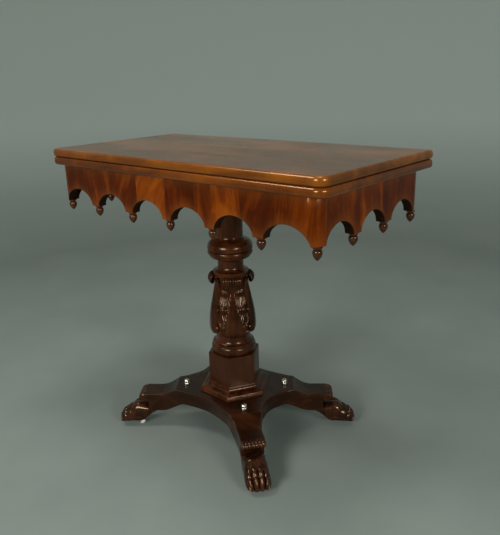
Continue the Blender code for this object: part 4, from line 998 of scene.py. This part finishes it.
def leaf_relief(p, q):
    """Crown and rib across the leaf; fingers and flutes are waves of p - climb x |q|, in mm."""
    off = np.abs(q)
    climb = p - CLIMB * off
    middle = np.maximum(PLAIN_MIDDLE * (1 - p / CARVED_TO), 0.04)
    carved = ease(off, middle, middle + 0.14) * ease(p, CARVED_FROM, CARVED_FROM + 0.07)
    carved = carved * (1 - ease(p, CARVED_TO, CARVED_TO + 0.08))
    finger = FINGER_HEIGHT * np.abs(np.sin(math.pi * FINGERS * climb))**0.8
    flute = FLUTE_DEPTH * (np.sin(math.pi * FLUTES * climb)**2 - 1)
    rib = RIB_HEIGHT * bell(off, 0, RIB_SPREAD) * (1 - ease(p, 0.60, 0.70))
    return -CROWN * off**CROWN_POWER + carved * (finger - CARVED_DEPTH + flute) + rib


# %% Leaves round the column
def leaf_sheet(swing, columns, back):
    """Radius and height of the path, moved along its normal by the relief and swung round the shaft."""
    path = spline(LEAF_PATH, 20)
    extra = spline(np.column_stack([LEAF_HALF_WIDTH, LEAF_THICKNESS]).astype(float), 20)
    length = np.concatenate([[0], np.cumsum(np.linalg.norm(np.diff(path, axis=0), axis=1))])
    tangent = np.gradient(path, axis=0)
    tangent /= np.linalg.norm(tangent, axis=1, keepdims=True)
    p = np.linspace(0, 1, LEAF_ROWS)[:, None]
    q = np.linspace(-1, 1, columns)[None, :]
    w = p + LOBE_SHARE * scallops(q, FOOT_LOBES) * (1 - ease(p, 0.0, 0.12))
    r, z, half, thick, tr, tz = (np.interp(w, length / length[-1], column)
                                 for column in np.hstack([path, extra, tangent]).T)
    depth = leaf_relief(w, q)
    if back:
        curl = ease(w, 0.70, 0.78)
        depth = 0.4 * depth * (1 - curl) - thick + TOOTH_HEIGHT * scallops(q, TIP_TEETH) * curl
    finger = FINGERS * (w - CLIMB)
    notch = bell(finger, np.round(finger), NOTCH_SPREAD) * ease(w, 0.05, 0.15) * (1 - ease(w, 0.6, 0.7))
    radius, height = r + tz * depth, z - tr * depth
    angle = swing + half * (1 - NOTCH_SHARE * notch) * q / np.maximum(r, NARROWEST_RADIUS)
    return np.stack([radius * np.cos(angle), radius * np.sin(angle), height], axis=-1) * MM


def leaf_surface(swing):
    """The carved face and the plainer back of a leaf, joined along both edges."""
    face, back = leaf_sheet(swing, LEAF_COLUMNS, False), leaf_sheet(swing, LEAF_BACK_COLUMNS, True)
    return skin(np.concatenate([face, back[:, ::-1]], axis=1))


for number in range(4):
    swing = math.radians(45 + 90 * number)
    leaf = make_piece("acanthus_leaf_" + str(number + 1), leaf_surface(swing), CARVED_WOOD, "base",
                      angle=50.0)
print("faces of a leaf:", len(leaf.data.polygons))

# %% [markdown]
# ## The hexagonal block and its moulding
# The column stands on a six-sided block with a mitred moulding round its foot.
# Both are a hexagon with slightly eased corners, drawn again for every point of
# an upright profile.

# %% Block and moulding
HEXAGON, CORNER_STEPS = 6, 5
EASED = 1.0 * MM


def hexagon(radius):
    """Six corners, each an arc of the eased radius between its two sides."""
    corner = np.arange(HEXAGON)[:, None] * TAU / HEXAGON
    fan = np.linspace(-1, 1, CORNER_STEPS)[None, :] * math.pi / HEXAGON
    inner = radius - EASED / math.cos(math.pi / HEXAGON)
    x = inner * np.cos(corner) + EASED * np.cos(corner + fan)
    y = inner * np.sin(corner) + EASED * np.sin(corner + fan)
    return np.stack([x.ravel(), y.ravel()], 1)


def hexagonal(profile, closed_rows=False):
    """A hexagon of the profile's radius at the profile's height, for every point of it."""
    rings = [np.column_stack([hexagon(r), np.full(HEXAGON * CORNER_STEPS, z)]) for r, z in profile]
    return skin(np.stack(rings), closed_rows)


BLOCK_RADIUS = BLOCK_HIGH[0]
MOULDING_LOW, MOULDING_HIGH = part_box("plinth_moulding")


def block_profile():
    """Straight up, with the upper arris taken off."""
    top = BLOCK_HIGH[2]
    return np.array([(EASED * 2, top), (BLOCK_RADIUS - EASED, top),
                     (BLOCK_RADIUS - EASED * 0.3, top - EASED * 0.3), (BLOCK_RADIUS, top - EASED),
                     (BLOCK_RADIUS, BLOCK_LOW[2]), (EASED * 2, BLOCK_LOW[2])])


def moulding_profile():
    """Cove, fillet, round and base, from the block outwards and down, in mm."""
    inner, outer = BLOCK_RADIUS / MM + 0.6, MOULDING_HIGH[0] / MM
    top, foot = MOULDING_HIGH[2] / MM, MOULDING_LOW[2] / MM
    return moulding((inner, top), (inner + 0.8, top), (inner + 2.6, top - 2.6),
                    ("down", inner + 12.8, top - 12.6), (inner + 14.0, top - 12.4),
                    ("across", outer - 3.0, foot + 4.2), (outer - 2.6, foot + 3.4),
                    (outer - 0.3, foot + 1.6), (outer, foot + 1.2), (outer, foot), (inner, foot))


make_piece("hexagonal_block", hexagonal(block_profile()), BLOCK_WOOD, "base",
           ("plinth_block",), 25.0)
make_piece("mitred_moulding", hexagonal(moulding_profile(), True), COLUMN_WOOD, "base",
           ("plinth_moulding",), 25.0)
print("block corners at", BLOCK_RADIUS, "m and moulding corners at", MOULDING_HIGH[0], "m")

# %% [markdown]
# ## The platform
# The base board has four arms with hollow sides between them. Its top is level
# round the block, breaks at a line across each arm, and falls to the feet. Every
# column of the grid runs from the middle line of an arm to the edge, over the
# edge and back underneath, so that the break and the slope cross the arm squarely.
# Under the roll at its end, the arm is cut back towards the foot.

# %% Sizes of the platform
PLATFORM_LOW, PLATFORM_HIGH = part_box("platform")
PLATFORM_TOP = PLATFORM_HIGH[2]
ARM_ANGLE = math.radians(38.3)
ARMS = {"front_right": (1, -1), "back_right": (1, 1), "back_left": (-1, 1), "front_left": (-1, -1)}
ARM_END, ARM_LINE, ARM_BREAK, ARM_LEVEL = 246.0 * MM, 150.0 * MM, 156.0 * MM, 202.0 * MM
ARM_DROP, DROP_POWER = 17.5 * MM, 1.8
CENTRE_THICKNESS = 38.0 * MM
ARM_BOTTOM = PLATFORM_LOW[2]
SPRING, STEP, STEP_DROP = 129.0 * MM, 196.0 * MM, 1.0 * MM
HALF_ARM = ((131.0, 48.6), (156.0, 39.0), (180.0, 31.8), (205.0, 28.9), (238.5, 29.0), (246.0, 28.0))
HOLLOWS = {"front": (0.0, -107.0), "right": (122.0, 0.0), "back": (0.0, 107.0), "left": (-122.0, 0.0)}
ARRIS = 1.3 * MM
ANKLE_RAKE, RAKED_LENGTH, ROLL_DEPTH = 12.0 * MM, 18.0 * MM, 15.0 * MM
SPINE_END = 8.0 * MM
ARM_STATIONS = ((0.0, ARM_LINE * 0.96, 25), (ARM_LINE, 195.0 * MM, 16), (STEP, 213.0 * MM, 7),
                (216.0 * MM, ARM_END, 10))
INWARD_SHARES = (0.0, 0.3, 0.6, 0.85)
END_STEPS = 13
print("platform", PLATFORM_TOP - PLATFORM_LOW[2], "m high, arms to", ARM_END, "m")


# %% The outline of the platform
def arm_direction(arm):
    """The level direction in which an arm runs out from the middle."""
    side_x, side_y = ARMS[arm]
    return np.array([side_x * math.cos(ARM_ANGLE), side_y * math.sin(ARM_ANGLE)])


def arm_top(u):
    """Level to the break, a crease there, then down by the drop and slowly level again."""
    t = np.clip((u - ARM_BREAK) / (ARM_LEVEL - ARM_BREAK), 0, 1)
    return PLATFORM_TOP - ARM_DROP * (1 - (1 - t)**DROP_POWER)


def arm_bottom(u):
    """Level in the middle, down along an S curve, and a small step before the foot."""
    level = PLATFORM_TOP - CENTRE_THICKNESS
    fall = level - ARM_BOTTOM - STEP_DROP
    return np.where(u < STEP, level - fall * ease(u, SPRING, STEP), ARM_BOTTOM)


def half_arm(arm, hollow):
    """Stations on the middle line and the edge points that belong to them, from hollow to end."""
    way = arm_direction(arm)
    across = np.array([-way[1], way[0]])
    middle = np.array(HOLLOWS[hollow]) * MM
    across = across * np.sign(middle @ across)
    knots = np.array(HALF_ARM) * MM
    start = np.array([middle @ way, middle @ across])
    mirror = np.array([1.0, -1.0]) if hollow in ("right", "left") else np.array([-1.0, 1.0])
    beyond = (knots[0, 0] * way + knots[0, 1] * across) * mirror
    before = np.array([beyond @ way, abs(beyond @ across)])
    edge = spline(np.vstack([before, start, knots]), 24)[24:]
    station = np.concatenate([np.linspace(low, high, steps) for low, high, steps in ARM_STATIONS])
    u = np.where(station < ARM_LINE, start[0] + station * (ARM_LINE - start[0]) / ARM_LINE, station)
    v = np.interp(u, edge[:, 0], edge[:, 1])
    spine = np.minimum(station, ARM_END - SPINE_END)
    return spine[:, None] * way, u[:, None] * way + v[:, None] * across


def platform_outline():
    """The whole edge, arm by arm, with the middle point and the arm of every column."""
    order = (("front_right", "front", "right"), ("back_right", "right", "back"),
             ("back_left", "back", "left"), ("front_left", "left", "front"))
    spines, edges, ways = [], [], []
    for arm, first, second in order:
        spine_a, edge_a = half_arm(arm, first)
        spine_b, edge_b = half_arm(arm, second)
        share = np.linspace(0, 1, END_STEPS + 2)[1:-1, None]
        end = edge_a[-1] * (1 - share) + edge_b[-1] * share
        spines.append(np.concatenate([spine_a[1:], np.tile(spine_a[-1], (END_STEPS, 1)), spine_b[::-1]]))
        edges.append(np.concatenate([edge_a[1:], end, edge_b[::-1]]))
        ways.append(np.tile(arm_direction(arm), (len(edges[-1]), 1)))
    return np.concatenate(spines), np.concatenate(edges), np.concatenate(ways)


# %% The board of the platform
def raked(place, way):
    """Points of the lower edge set back, from nothing to the whole rake over the last of the arm."""
    return place - way * ANKLE_RAKE * ease((place * way).sum(1), ARM_END - RAKED_LENGTH, ARM_END)[:, None]


def platform_shape():
    """Rings of (place, height): out over the top, round the arris, down the edge and in underneath."""
    spine, edge, way = platform_outline()
    run = np.roll(edge, -1, 0) - np.roll(edge, 1, 0)
    normal = np.column_stack([run[:, 1], -run[:, 0]]) / np.linalg.norm(run, axis=1)[:, None]
    flat = edge - normal * ARRIS
    halves = []
    for level, sign in ((arm_top, 1), (arm_bottom, -1)):
        rings = [(place, level((place * way).sum(1)))
                 for place in (spine + (flat - spine) * share for share in INWARD_SHARES)]
        rings += [(edge - normal * ARRIS * (1 - math.sin(a)),
                   level((flat * way).sum(1)) - sign * ARRIS * (1 - math.cos(a)))
                  for a in np.linspace(0, QUARTER, 5)]
        halves.append(rings)
    upper, lower = halves
    under = arm_top((edge * way).sum(1)) - ROLL_DEPTH
    rings = upper + [(edge, under + ARRIS), (edge, under), (raked(edge, way), under)]
    rings += [(raked(place, way), height) for place, height in lower[::-1]]
    return skin(np.stack([np.column_stack([place, height]) for place, height in rings]))


board = make_piece("hollow_sided_platform", platform_shape(), PLATFORM_WOOD, "base",
                   ("platform",))
print("platform faces:", len(board.data.polygons))

# %% [markdown]
# ## Reeded ends of the arms
# Each arm ends in a small roll, cut across into seven reeds. It is a closed
# section carried across the arm. The reeds swell it in and out, and towards the
# two sides the section shrinks, so that the outer reeds turn round the corner.

# %% Reeded rolls
ROLL_KNOTS = ((238.0, 99.2), (243.0, 99.7), (248.5, 99.6), (253.6, 98.2), (257.8, 95.2), (260.2, 91.0),
              (259.6, 86.8), (257.0, 83.4), (253.2, 81.4), (248.6, 80.6), (238.0, 80.8))
ROLL_CENTRE = np.array((249.0, 90.4))
ROLL_HALF_WIDTH, ROLL_SQUARENESS = 28.8, 7
REEDS, REED_SHARE, REED_RISE_SHARE = 7, 0.20, 0.8


def on_arm(arm, u, v, z):
    """Arm coordinates in mm (along, across, up) as points of the table."""
    way = arm_direction(arm) * MM
    return np.stack([u * way[0] - v * way[1], u * way[1] + v * way[0], z * MM + 0 * u], axis=-1)


def roll_shape(arm):
    """centre + (section - centre) x reed x size, where reed waves across the arm and size ends it round."""
    section = spline(ROLL_KNOTS, 5)[None]
    a = np.sin(np.linspace(-QUARTER, QUARTER, 113))[:, None]
    size = (1 - 0.999 * np.abs(a)**ROLL_SQUARENESS)**(1 / ROLL_SQUARENESS)
    off = section - ROLL_CENTRE
    front = ease(section[..., 0], 241.0, 250.0)
    cut = REED_SHARE * front * (1 - np.abs(np.sin(math.pi * REEDS * (a + 1) / 2))**0.6)
    u = ROLL_CENTRE[0] + off[..., 0] * (1 - cut) * size
    z = ROLL_CENTRE[1] + off[..., 1] * (1 - cut * REED_RISE_SHARE) * size
    return skin(on_arm(arm, u, ROLL_HALF_WIDTH * a, z))


print("reeds across a roll:", REEDS)

# %% [markdown]
# ## Lion-paw feet
# The feet are carved as lion's paws. Height is a function of two parameters, one
# from heel to claws and one across: an arched back, two low bones over it, four
# toes with a knuckle each, and deep cuts between them that also draw the front
# edge back. A round sinking underneath takes the caster.

# %% Sizes of a paw and its claws, in mm
# From heel to claws: the place along the arm, the top, the bottom and the half width, in mm.
PAW_SECTIONS = (
    (212, 49.5, 47.0, 24.5), (225, 56.5, 39.0, 27.5), (238, 61.0, 27.0, 28.8), (247, 63.0, 18.5, 29.0),
    (256, 64.6, 13.6, 28.6), (264, 65.8, 12.6, 28.6), (272, 65.4, 12.2, 29.0), (281, 60.6, 12.0, 29.6),
    (288, 53.6, 11.8, 30.0), (294, 47.6, 11.4, 30.0), (300, 44.6, 11.0, 30.0), (306, 40.8, 10.4, 29.6),
    (311, 37.0, 9.8, 28.8), (315.5, 32.4, 10.4, 27.6), (318.5, 27.0, 13.0, 26.0), (319.8, 20.0, 17.5, 24.6))
PAW_SOLE = 14.0
PAW_BOW, CUT_BOW = 5.5, 5.0
INSTEP, INSTEP_SPREAD, INSTEP_HEIGHT = 264.0, 7.5, 3.0
DIP, DIP_SPREAD, DIP_DEPTH = 302.5, 3.0, 2.4
# Bumps and hollows on the toes are place, spread and height, and the cuts between them from, to and depth.
TOE_BUMPS = ((294.0, 4.6, 3.4), (309.0, 4.2, 2.4), (283.0, 4.5, -2.0))
TOE_CUTS = ((268.0, 284.0, 3.2), (286.0, 304.0, 4.6), (314.0, 319.0, -3.0))
CLAW_SIDES = (-0.75, -0.25, 0.25, 0.75)
CLAW_START, CLAW_REACH, CLAW_SPREAD = 310.8, 7.0, 27.55
CLAW_HEIGHT, CLAW_FALL = 24.0, 14.6
CLAW_RADIUS, CLAW_SLIMNESS = 4.4, 0.8
CLAW_TURN, CLAW_SHRUNK, CLAW_STEPS = 1.45, 1.5, 14
STEM_ROOM, CASTER_ROOM = 4.3 * MM, 24.0 * MM
print("a paw is", PAW_SECTIONS[-1][0] - PAW_SECTIONS[0][0], "mm long")


# %% The shape of a paw
def paw_shape(arm):
    """Arched section x lengthwise profile, less the cuts between toes, plus bones and knuckles."""
    table = spline(PAW_SECTIONS, 7)
    u, top, bottom, width = (table[:, i:i + 1] for i in range(4))
    a = np.sin(np.linspace(-QUARTER, QUARTER, 97))[None, :]
    squareness = 3.4 - 0.9 * ease(u, 246, 290)
    arch = (1 - np.abs(a)**squareness)**(1 / squareness)
    toe = np.abs(np.sin(TAU * a))**0.7
    cut = sum(ease(u, start, stop) * depth for start, stop, depth in TOE_CUTS)
    middle = bottom + np.minimum(PAW_SOLE, (top - bottom) * 0.42)
    bones = np.abs(np.sin(math.pi * a))**1.2 - 0.5
    raised = INSTEP_HEIGHT * bell(u, INSTEP, INSTEP_SPREAD) * bones - DIP_DEPTH * bell(u, DIP, DIP_SPREAD)
    raised = raised + toe * sum(height * bell(u, place, spread) for place, spread, height in TOE_BUMPS)
    upper = middle + (top - middle) * arch + (raised - cut * (1 - toe)) * arch
    lower = middle - (middle - bottom) * arch
    back = PAW_BOW * a**2 * ease(u, 250, 318) + CUT_BOW * (1 - toe) * ease(u, 296, 319)
    u_all = np.concatenate([u - back, (u - back * 0.8)[:, ::-1]], axis=1)
    v_all = np.concatenate([width * a, (width * a)[:, ::-1]], axis=1)
    z_all = np.concatenate([np.maximum(upper, middle), lower[:, ::-1]], axis=1)
    return skin(on_arm(arm, u_all, v_all, z_all))


# %% Claws, and the four feet
def claw_shape(arm, side):
    """A tapering tube along a quarter turn, from the end of a toe down to its point."""
    start = CLAW_START - PAW_BOW * side**2
    turn = np.linspace(0, CLAW_TURN, CLAW_STEPS)[:, None]
    ring = (np.arange(CLAW_STEPS) * TAU / CLAW_STEPS)[None, :]
    radius = CLAW_RADIUS * (1 - (turn / CLAW_SHRUNK)**2.4) + 0.15
    along = start + CLAW_REACH * np.sin(turn) + radius * np.cos(ring) * np.sin(turn)
    up = CLAW_HEIGHT - CLAW_FALL * (1 - np.cos(turn)) + radius * np.cos(ring) * np.cos(turn)
    return skin(on_arm(arm, along, CLAW_SPREAD * side + radius * np.sin(ring) * CLAW_SLIMNESS, up))


JOINTS = {joint["name"]: joint for joint in frame["joints"]}
for arm in ARMS:
    make_piece("reeded_roll_" + arm, roll_shape(arm), PAW_WOOD, "base", angle=60.0)
    paw = raw_piece("lion_paw_" + arm, paw_shape(arm))
    swivel = JOINTS["caster_swivel_" + arm]["pos_m"]
    _, stem_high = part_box("caster_fork_" + arm)
    roof = stem_high[2] + GAP
    recess = np.array([(0, roof), (STEM_ROOM, roof), (STEM_ROOM, swivel[2]), (CASTER_ROOM, swivel[2]),
                       (CASTER_ROOM, -NOSE), (0, -NOSE)])
    carve(paw, lathe(recess, 48, swivel[:2]))
    finish_piece(paw, PAW_WOOD, "base", ("paw_" + arm,), 60.0)
    claws = stack(*(claw_shape(arm, side) for side in CLAW_SIDES))
    make_piece("claws_" + arm, claws, CLAW_WOOD_WITH_PAINTED_SHEEN, "base", angle=60.0)
print("paw faces:", len(paw.data.polygons))

# %% [markdown]
# ## Studs and casters
# A small brass knob with a collar stands on each arm. Under each paw a china
# wheel turns in a brass fork. The knobs and wheels are turned here on a finer
# lathe than in the frame. The forks and pins keep their own meshes.

# %% Studs and wheels
STUD_PROFILE = moulding((0, 12.0), ("bead", 4.2, 4.0, 5.0), (4.6, 3.4), (6.9, 2.8),
                        ("bead", 7.5, 0.5, 0.4), (7.7, 0.0), (0, 0.0))
HALF_WHEEL = moulding((1.8, 4.0), (3.6, 4.0), (4.0, 3.5), (7.6, 3.4), (8.2, 3.8), (9.2, 4.0), (9.95, 3.6),
                      (10.37, 2.7))
WHEEL_PROFILE = np.concatenate([HALF_WHEEL, HALF_WHEEL[::-1] * (1, -1)])


def aim(shape, axis, centre):
    """Turns a lathed shape so that its axis lies along another, and moves it to its centre."""
    verts, faces = shape
    turn = Vector((0, 0, 1)).rotation_difference(Vector(axis)).to_matrix()
    return verts @ np.array(turn).T + np.array(centre), faces


for arm in ARMS:
    knob = lathe(STUD_PROFILE + (0.0, PLATFORM_TOP + GAP), 48, middle_of("stud_" + arm)[:2])
    make_piece("brass_knob_" + arm, knob, STUD_BRASS, "base", ("stud_" + arm,))
    roll = JOINTS["caster_roll_" + arm]
    wheel = aim(lathe(WHEEL_PROFILE, 64, closed_rows=True), roll["axis"], roll["pos_m"])
    make_piece("china_wheel_" + arm, wheel, CHINA, roll["child"], ("caster_wheel_" + arm,))
print("wheels of", 2 * WHEEL_PROFILE[:, 0].max(), "m across")

# %% [markdown]
# ## Screws in the hinges
# Each hinge plate is held by three countersunk screws. A head is a low dome with
# a slot, and the slot is cut by pinching the grid: points near the middle line
# are pushed down, so no cutter is needed.

# %% Screws
SCREW_RADIUS, SCREW_DOME, SCREW_RIM = 2.6 * MM, 0.35 * MM, 0.1 * MM
SCREW_SUNK = 0.6 * MM
SLOT_HALF_WIDTH = 0.35 * MM
SLOT_TURNS = (-0.6, 0.5, 1.6)
SCREW_STEP, SCREW_LEVEL, PLATE_FACE = 20.0 * MM, 9.0 * MM, 1.8 * MM


def screw_shape(centre, turned):
    """Dome height falls with the square of the radius; a slot of even depth crosses it."""
    radius = np.linspace(0.02, 1, 15)[:, None] * SCREW_RADIUS
    angle = (np.arange(48) * TAU / 48)[None, :]
    x, z = radius * np.cos(angle), radius * np.sin(angle)
    line = np.abs(x * math.sin(turned) - z * math.cos(turned))
    height = SCREW_DOME * (1 - (radius / SCREW_RADIUS)**2) + SCREW_RIM
    height = np.where(line < SLOT_HALF_WIDTH, -SCREW_RIM, height)
    top = np.stack([centre[0] + x, centre[1] + height, centre[2] + z], axis=-1)
    foot = top[-1:].copy()
    foot[..., 1] = centre[1] - SCREW_SUNK
    return skin(np.concatenate([top, foot]))


for side in ("left", "right"):
    axis_z = middle_of("hinge_pin_" + side)[2]
    for half, body, sign in (("lower", "lower_top", -1), ("upper", "upper_top", 1)):
        low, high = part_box("hinge_" + half + "_plate_" + side)
        middle, face, level = (low[0] + high[0]) / 2, low[1] + PLATE_FACE, axis_z + sign * SCREW_LEVEL
        heads = [screw_shape((middle + step * SCREW_STEP, face, level), turned + sign)
                 for step, turned in zip((-1, 0, 1), SLOT_TURNS)]
        make_piece("hinge_screws_" + half + "_" + side, stack(*heads), STEEL, body)
print("screws in a plate:", len(heads))

# %% [markdown]
# ## The pieces that keep their own mesh
# Hinges, pins, the pivot, the forks and the frame inside are simple parts whose
# shape is already right. They only need a finish in place of their plain colour.

# %% Finishes for the kept pieces
KEPT = {"hinge_lower": BRASS, "hinge_upper": BRASS, "hinge_pin": STEEL, "pivot": STEEL,
        "caster_fork": BRASS, "caster_axle": STEEL, "swivel_rail": PINE_ACROSS, "well_board": PINE_ALONG,
        "pillar_bearer": PINE_ALONG}
for name, node in frame["nodes"].items():
    for start, material in KEPT.items():
        if name.startswith(start):
            for holder in node.material_slots:
                holder.material = material
print("kinds of kept pieces:", len(KEPT))

# %% [markdown]
# ## Floor and light
# A pale floor that curves up into a wall stands in for the studio; the floor is painted darker near the
# table and the wall much paler, a painted fall-off of the light. Two wide soft lights, one to either side
# of the camera, draw the pairs of bright spots on every turned part. A third, high on the left, models the
# front, and a broad one overhead lights the top and puts the shadow under the platform.

# %% Floor, world and lights
LOOK_AT = Vector((0.0, 0.0, 0.45))
FLOOR_TO, WALL_FROM = 2.0, 5.5
STUDIO_PROFILE = ((0.0, 0.0), (1.2, 0.0), (3.2, 0.0), (4.4, 0.05), (5.4, 0.35), (6.2, 1.0), (6.6, 1.9),
                  (6.7, 3.0), (6.7, 4.2))
SOFTBOXES = {"left_of_camera": ((0.34, -2.43, 1.22), (0.92, 0.42), 38.0),
             "right_of_camera": ((2.39, -0.73, 1.20), (0.76, 0.38), 26.0),
             "far_left": ((-0.85, -1.00, 2.30), (0.60, 0.60), 16.0),
             "overhead": ((0.10, 0.10, 3.60), (0.90, 0.90), 32.0)}


def make_studio():
    """A floor that curves up into a wall all round, as one turned surface, so no edge shows."""
    verts, faces = lathe(spline(STUDIO_PROFILE, 6)[1:], 96)
    studio = bpy.data.objects.new("studio", bpy.data.meshes.new("studio"))
    studio.data.from_pydata(verts.tolist(), [], faces[:-1])
    studio.data.shade_smooth()
    show(studio)
    material, tree, shader = new_material("pale_floor")
    place = add_node(tree, "TexCoord").outputs["Object"]
    cloud = fit(tree, noise(tree, place, scale=3.0, detail=6.0, rough=0.6), 0.3, 0.7)
    away = add_node(tree, "VectorMath", {0: place}, operation="LENGTH").outputs["Value"]
    # Painted light: the floor is darker near the table and paler out at the wall.
    floor_painted_dim_near_table = mix_colour(tree, cloud, (0.175, 0.205, 0.180), (0.205, 0.235, 0.205))
    colour = mix_colour(tree, fit(tree, away, FLOOR_TO, WALL_FROM), floor_painted_dim_near_table, (0.66, 0.73, 0.67))
    feed(tree, shader.inputs, {"Base Color": colour, "Roughness": plus(tree, times(tree, cloud, 0.2), 0.6),
                               "Specular IOR Level": 0.2})
    studio.data.materials.append(material)


def make_world():
    """Dim even light from all sides."""
    world = bpy.data.worlds.new("studio")
    world.use_nodes = True
    background = world.node_tree.nodes["Background"]
    feed(world.node_tree, background.inputs, {"Color": (0.80, 0.86, 0.83), "Strength": 0.27})
    bpy.context.scene.world = world


def make_softbox(name, place, size, watts):
    """A rectangular light that faces the table."""
    light = bpy.data.lights.new(name, "AREA")
    light.shape = "RECTANGLE"
    light.size, light.size_y = size
    light.energy = watts
    lamp = bpy.data.objects.new(name, light)
    place = Vector(place)
    aimed = (place - LOOK_AT).to_track_quat("Z", "Y").to_matrix().to_4x4()
    lamp.matrix_world = Matrix.Translation(place) @ aimed
    show(lamp)


make_studio()
make_world()
for name, (place, size, watts) in SOFTBOXES.items():
    make_softbox(name, place, size, watts)
bpy.context.scene.view_settings.view_transform = "Standard"
print("soft lights:", len(SOFTBOXES))
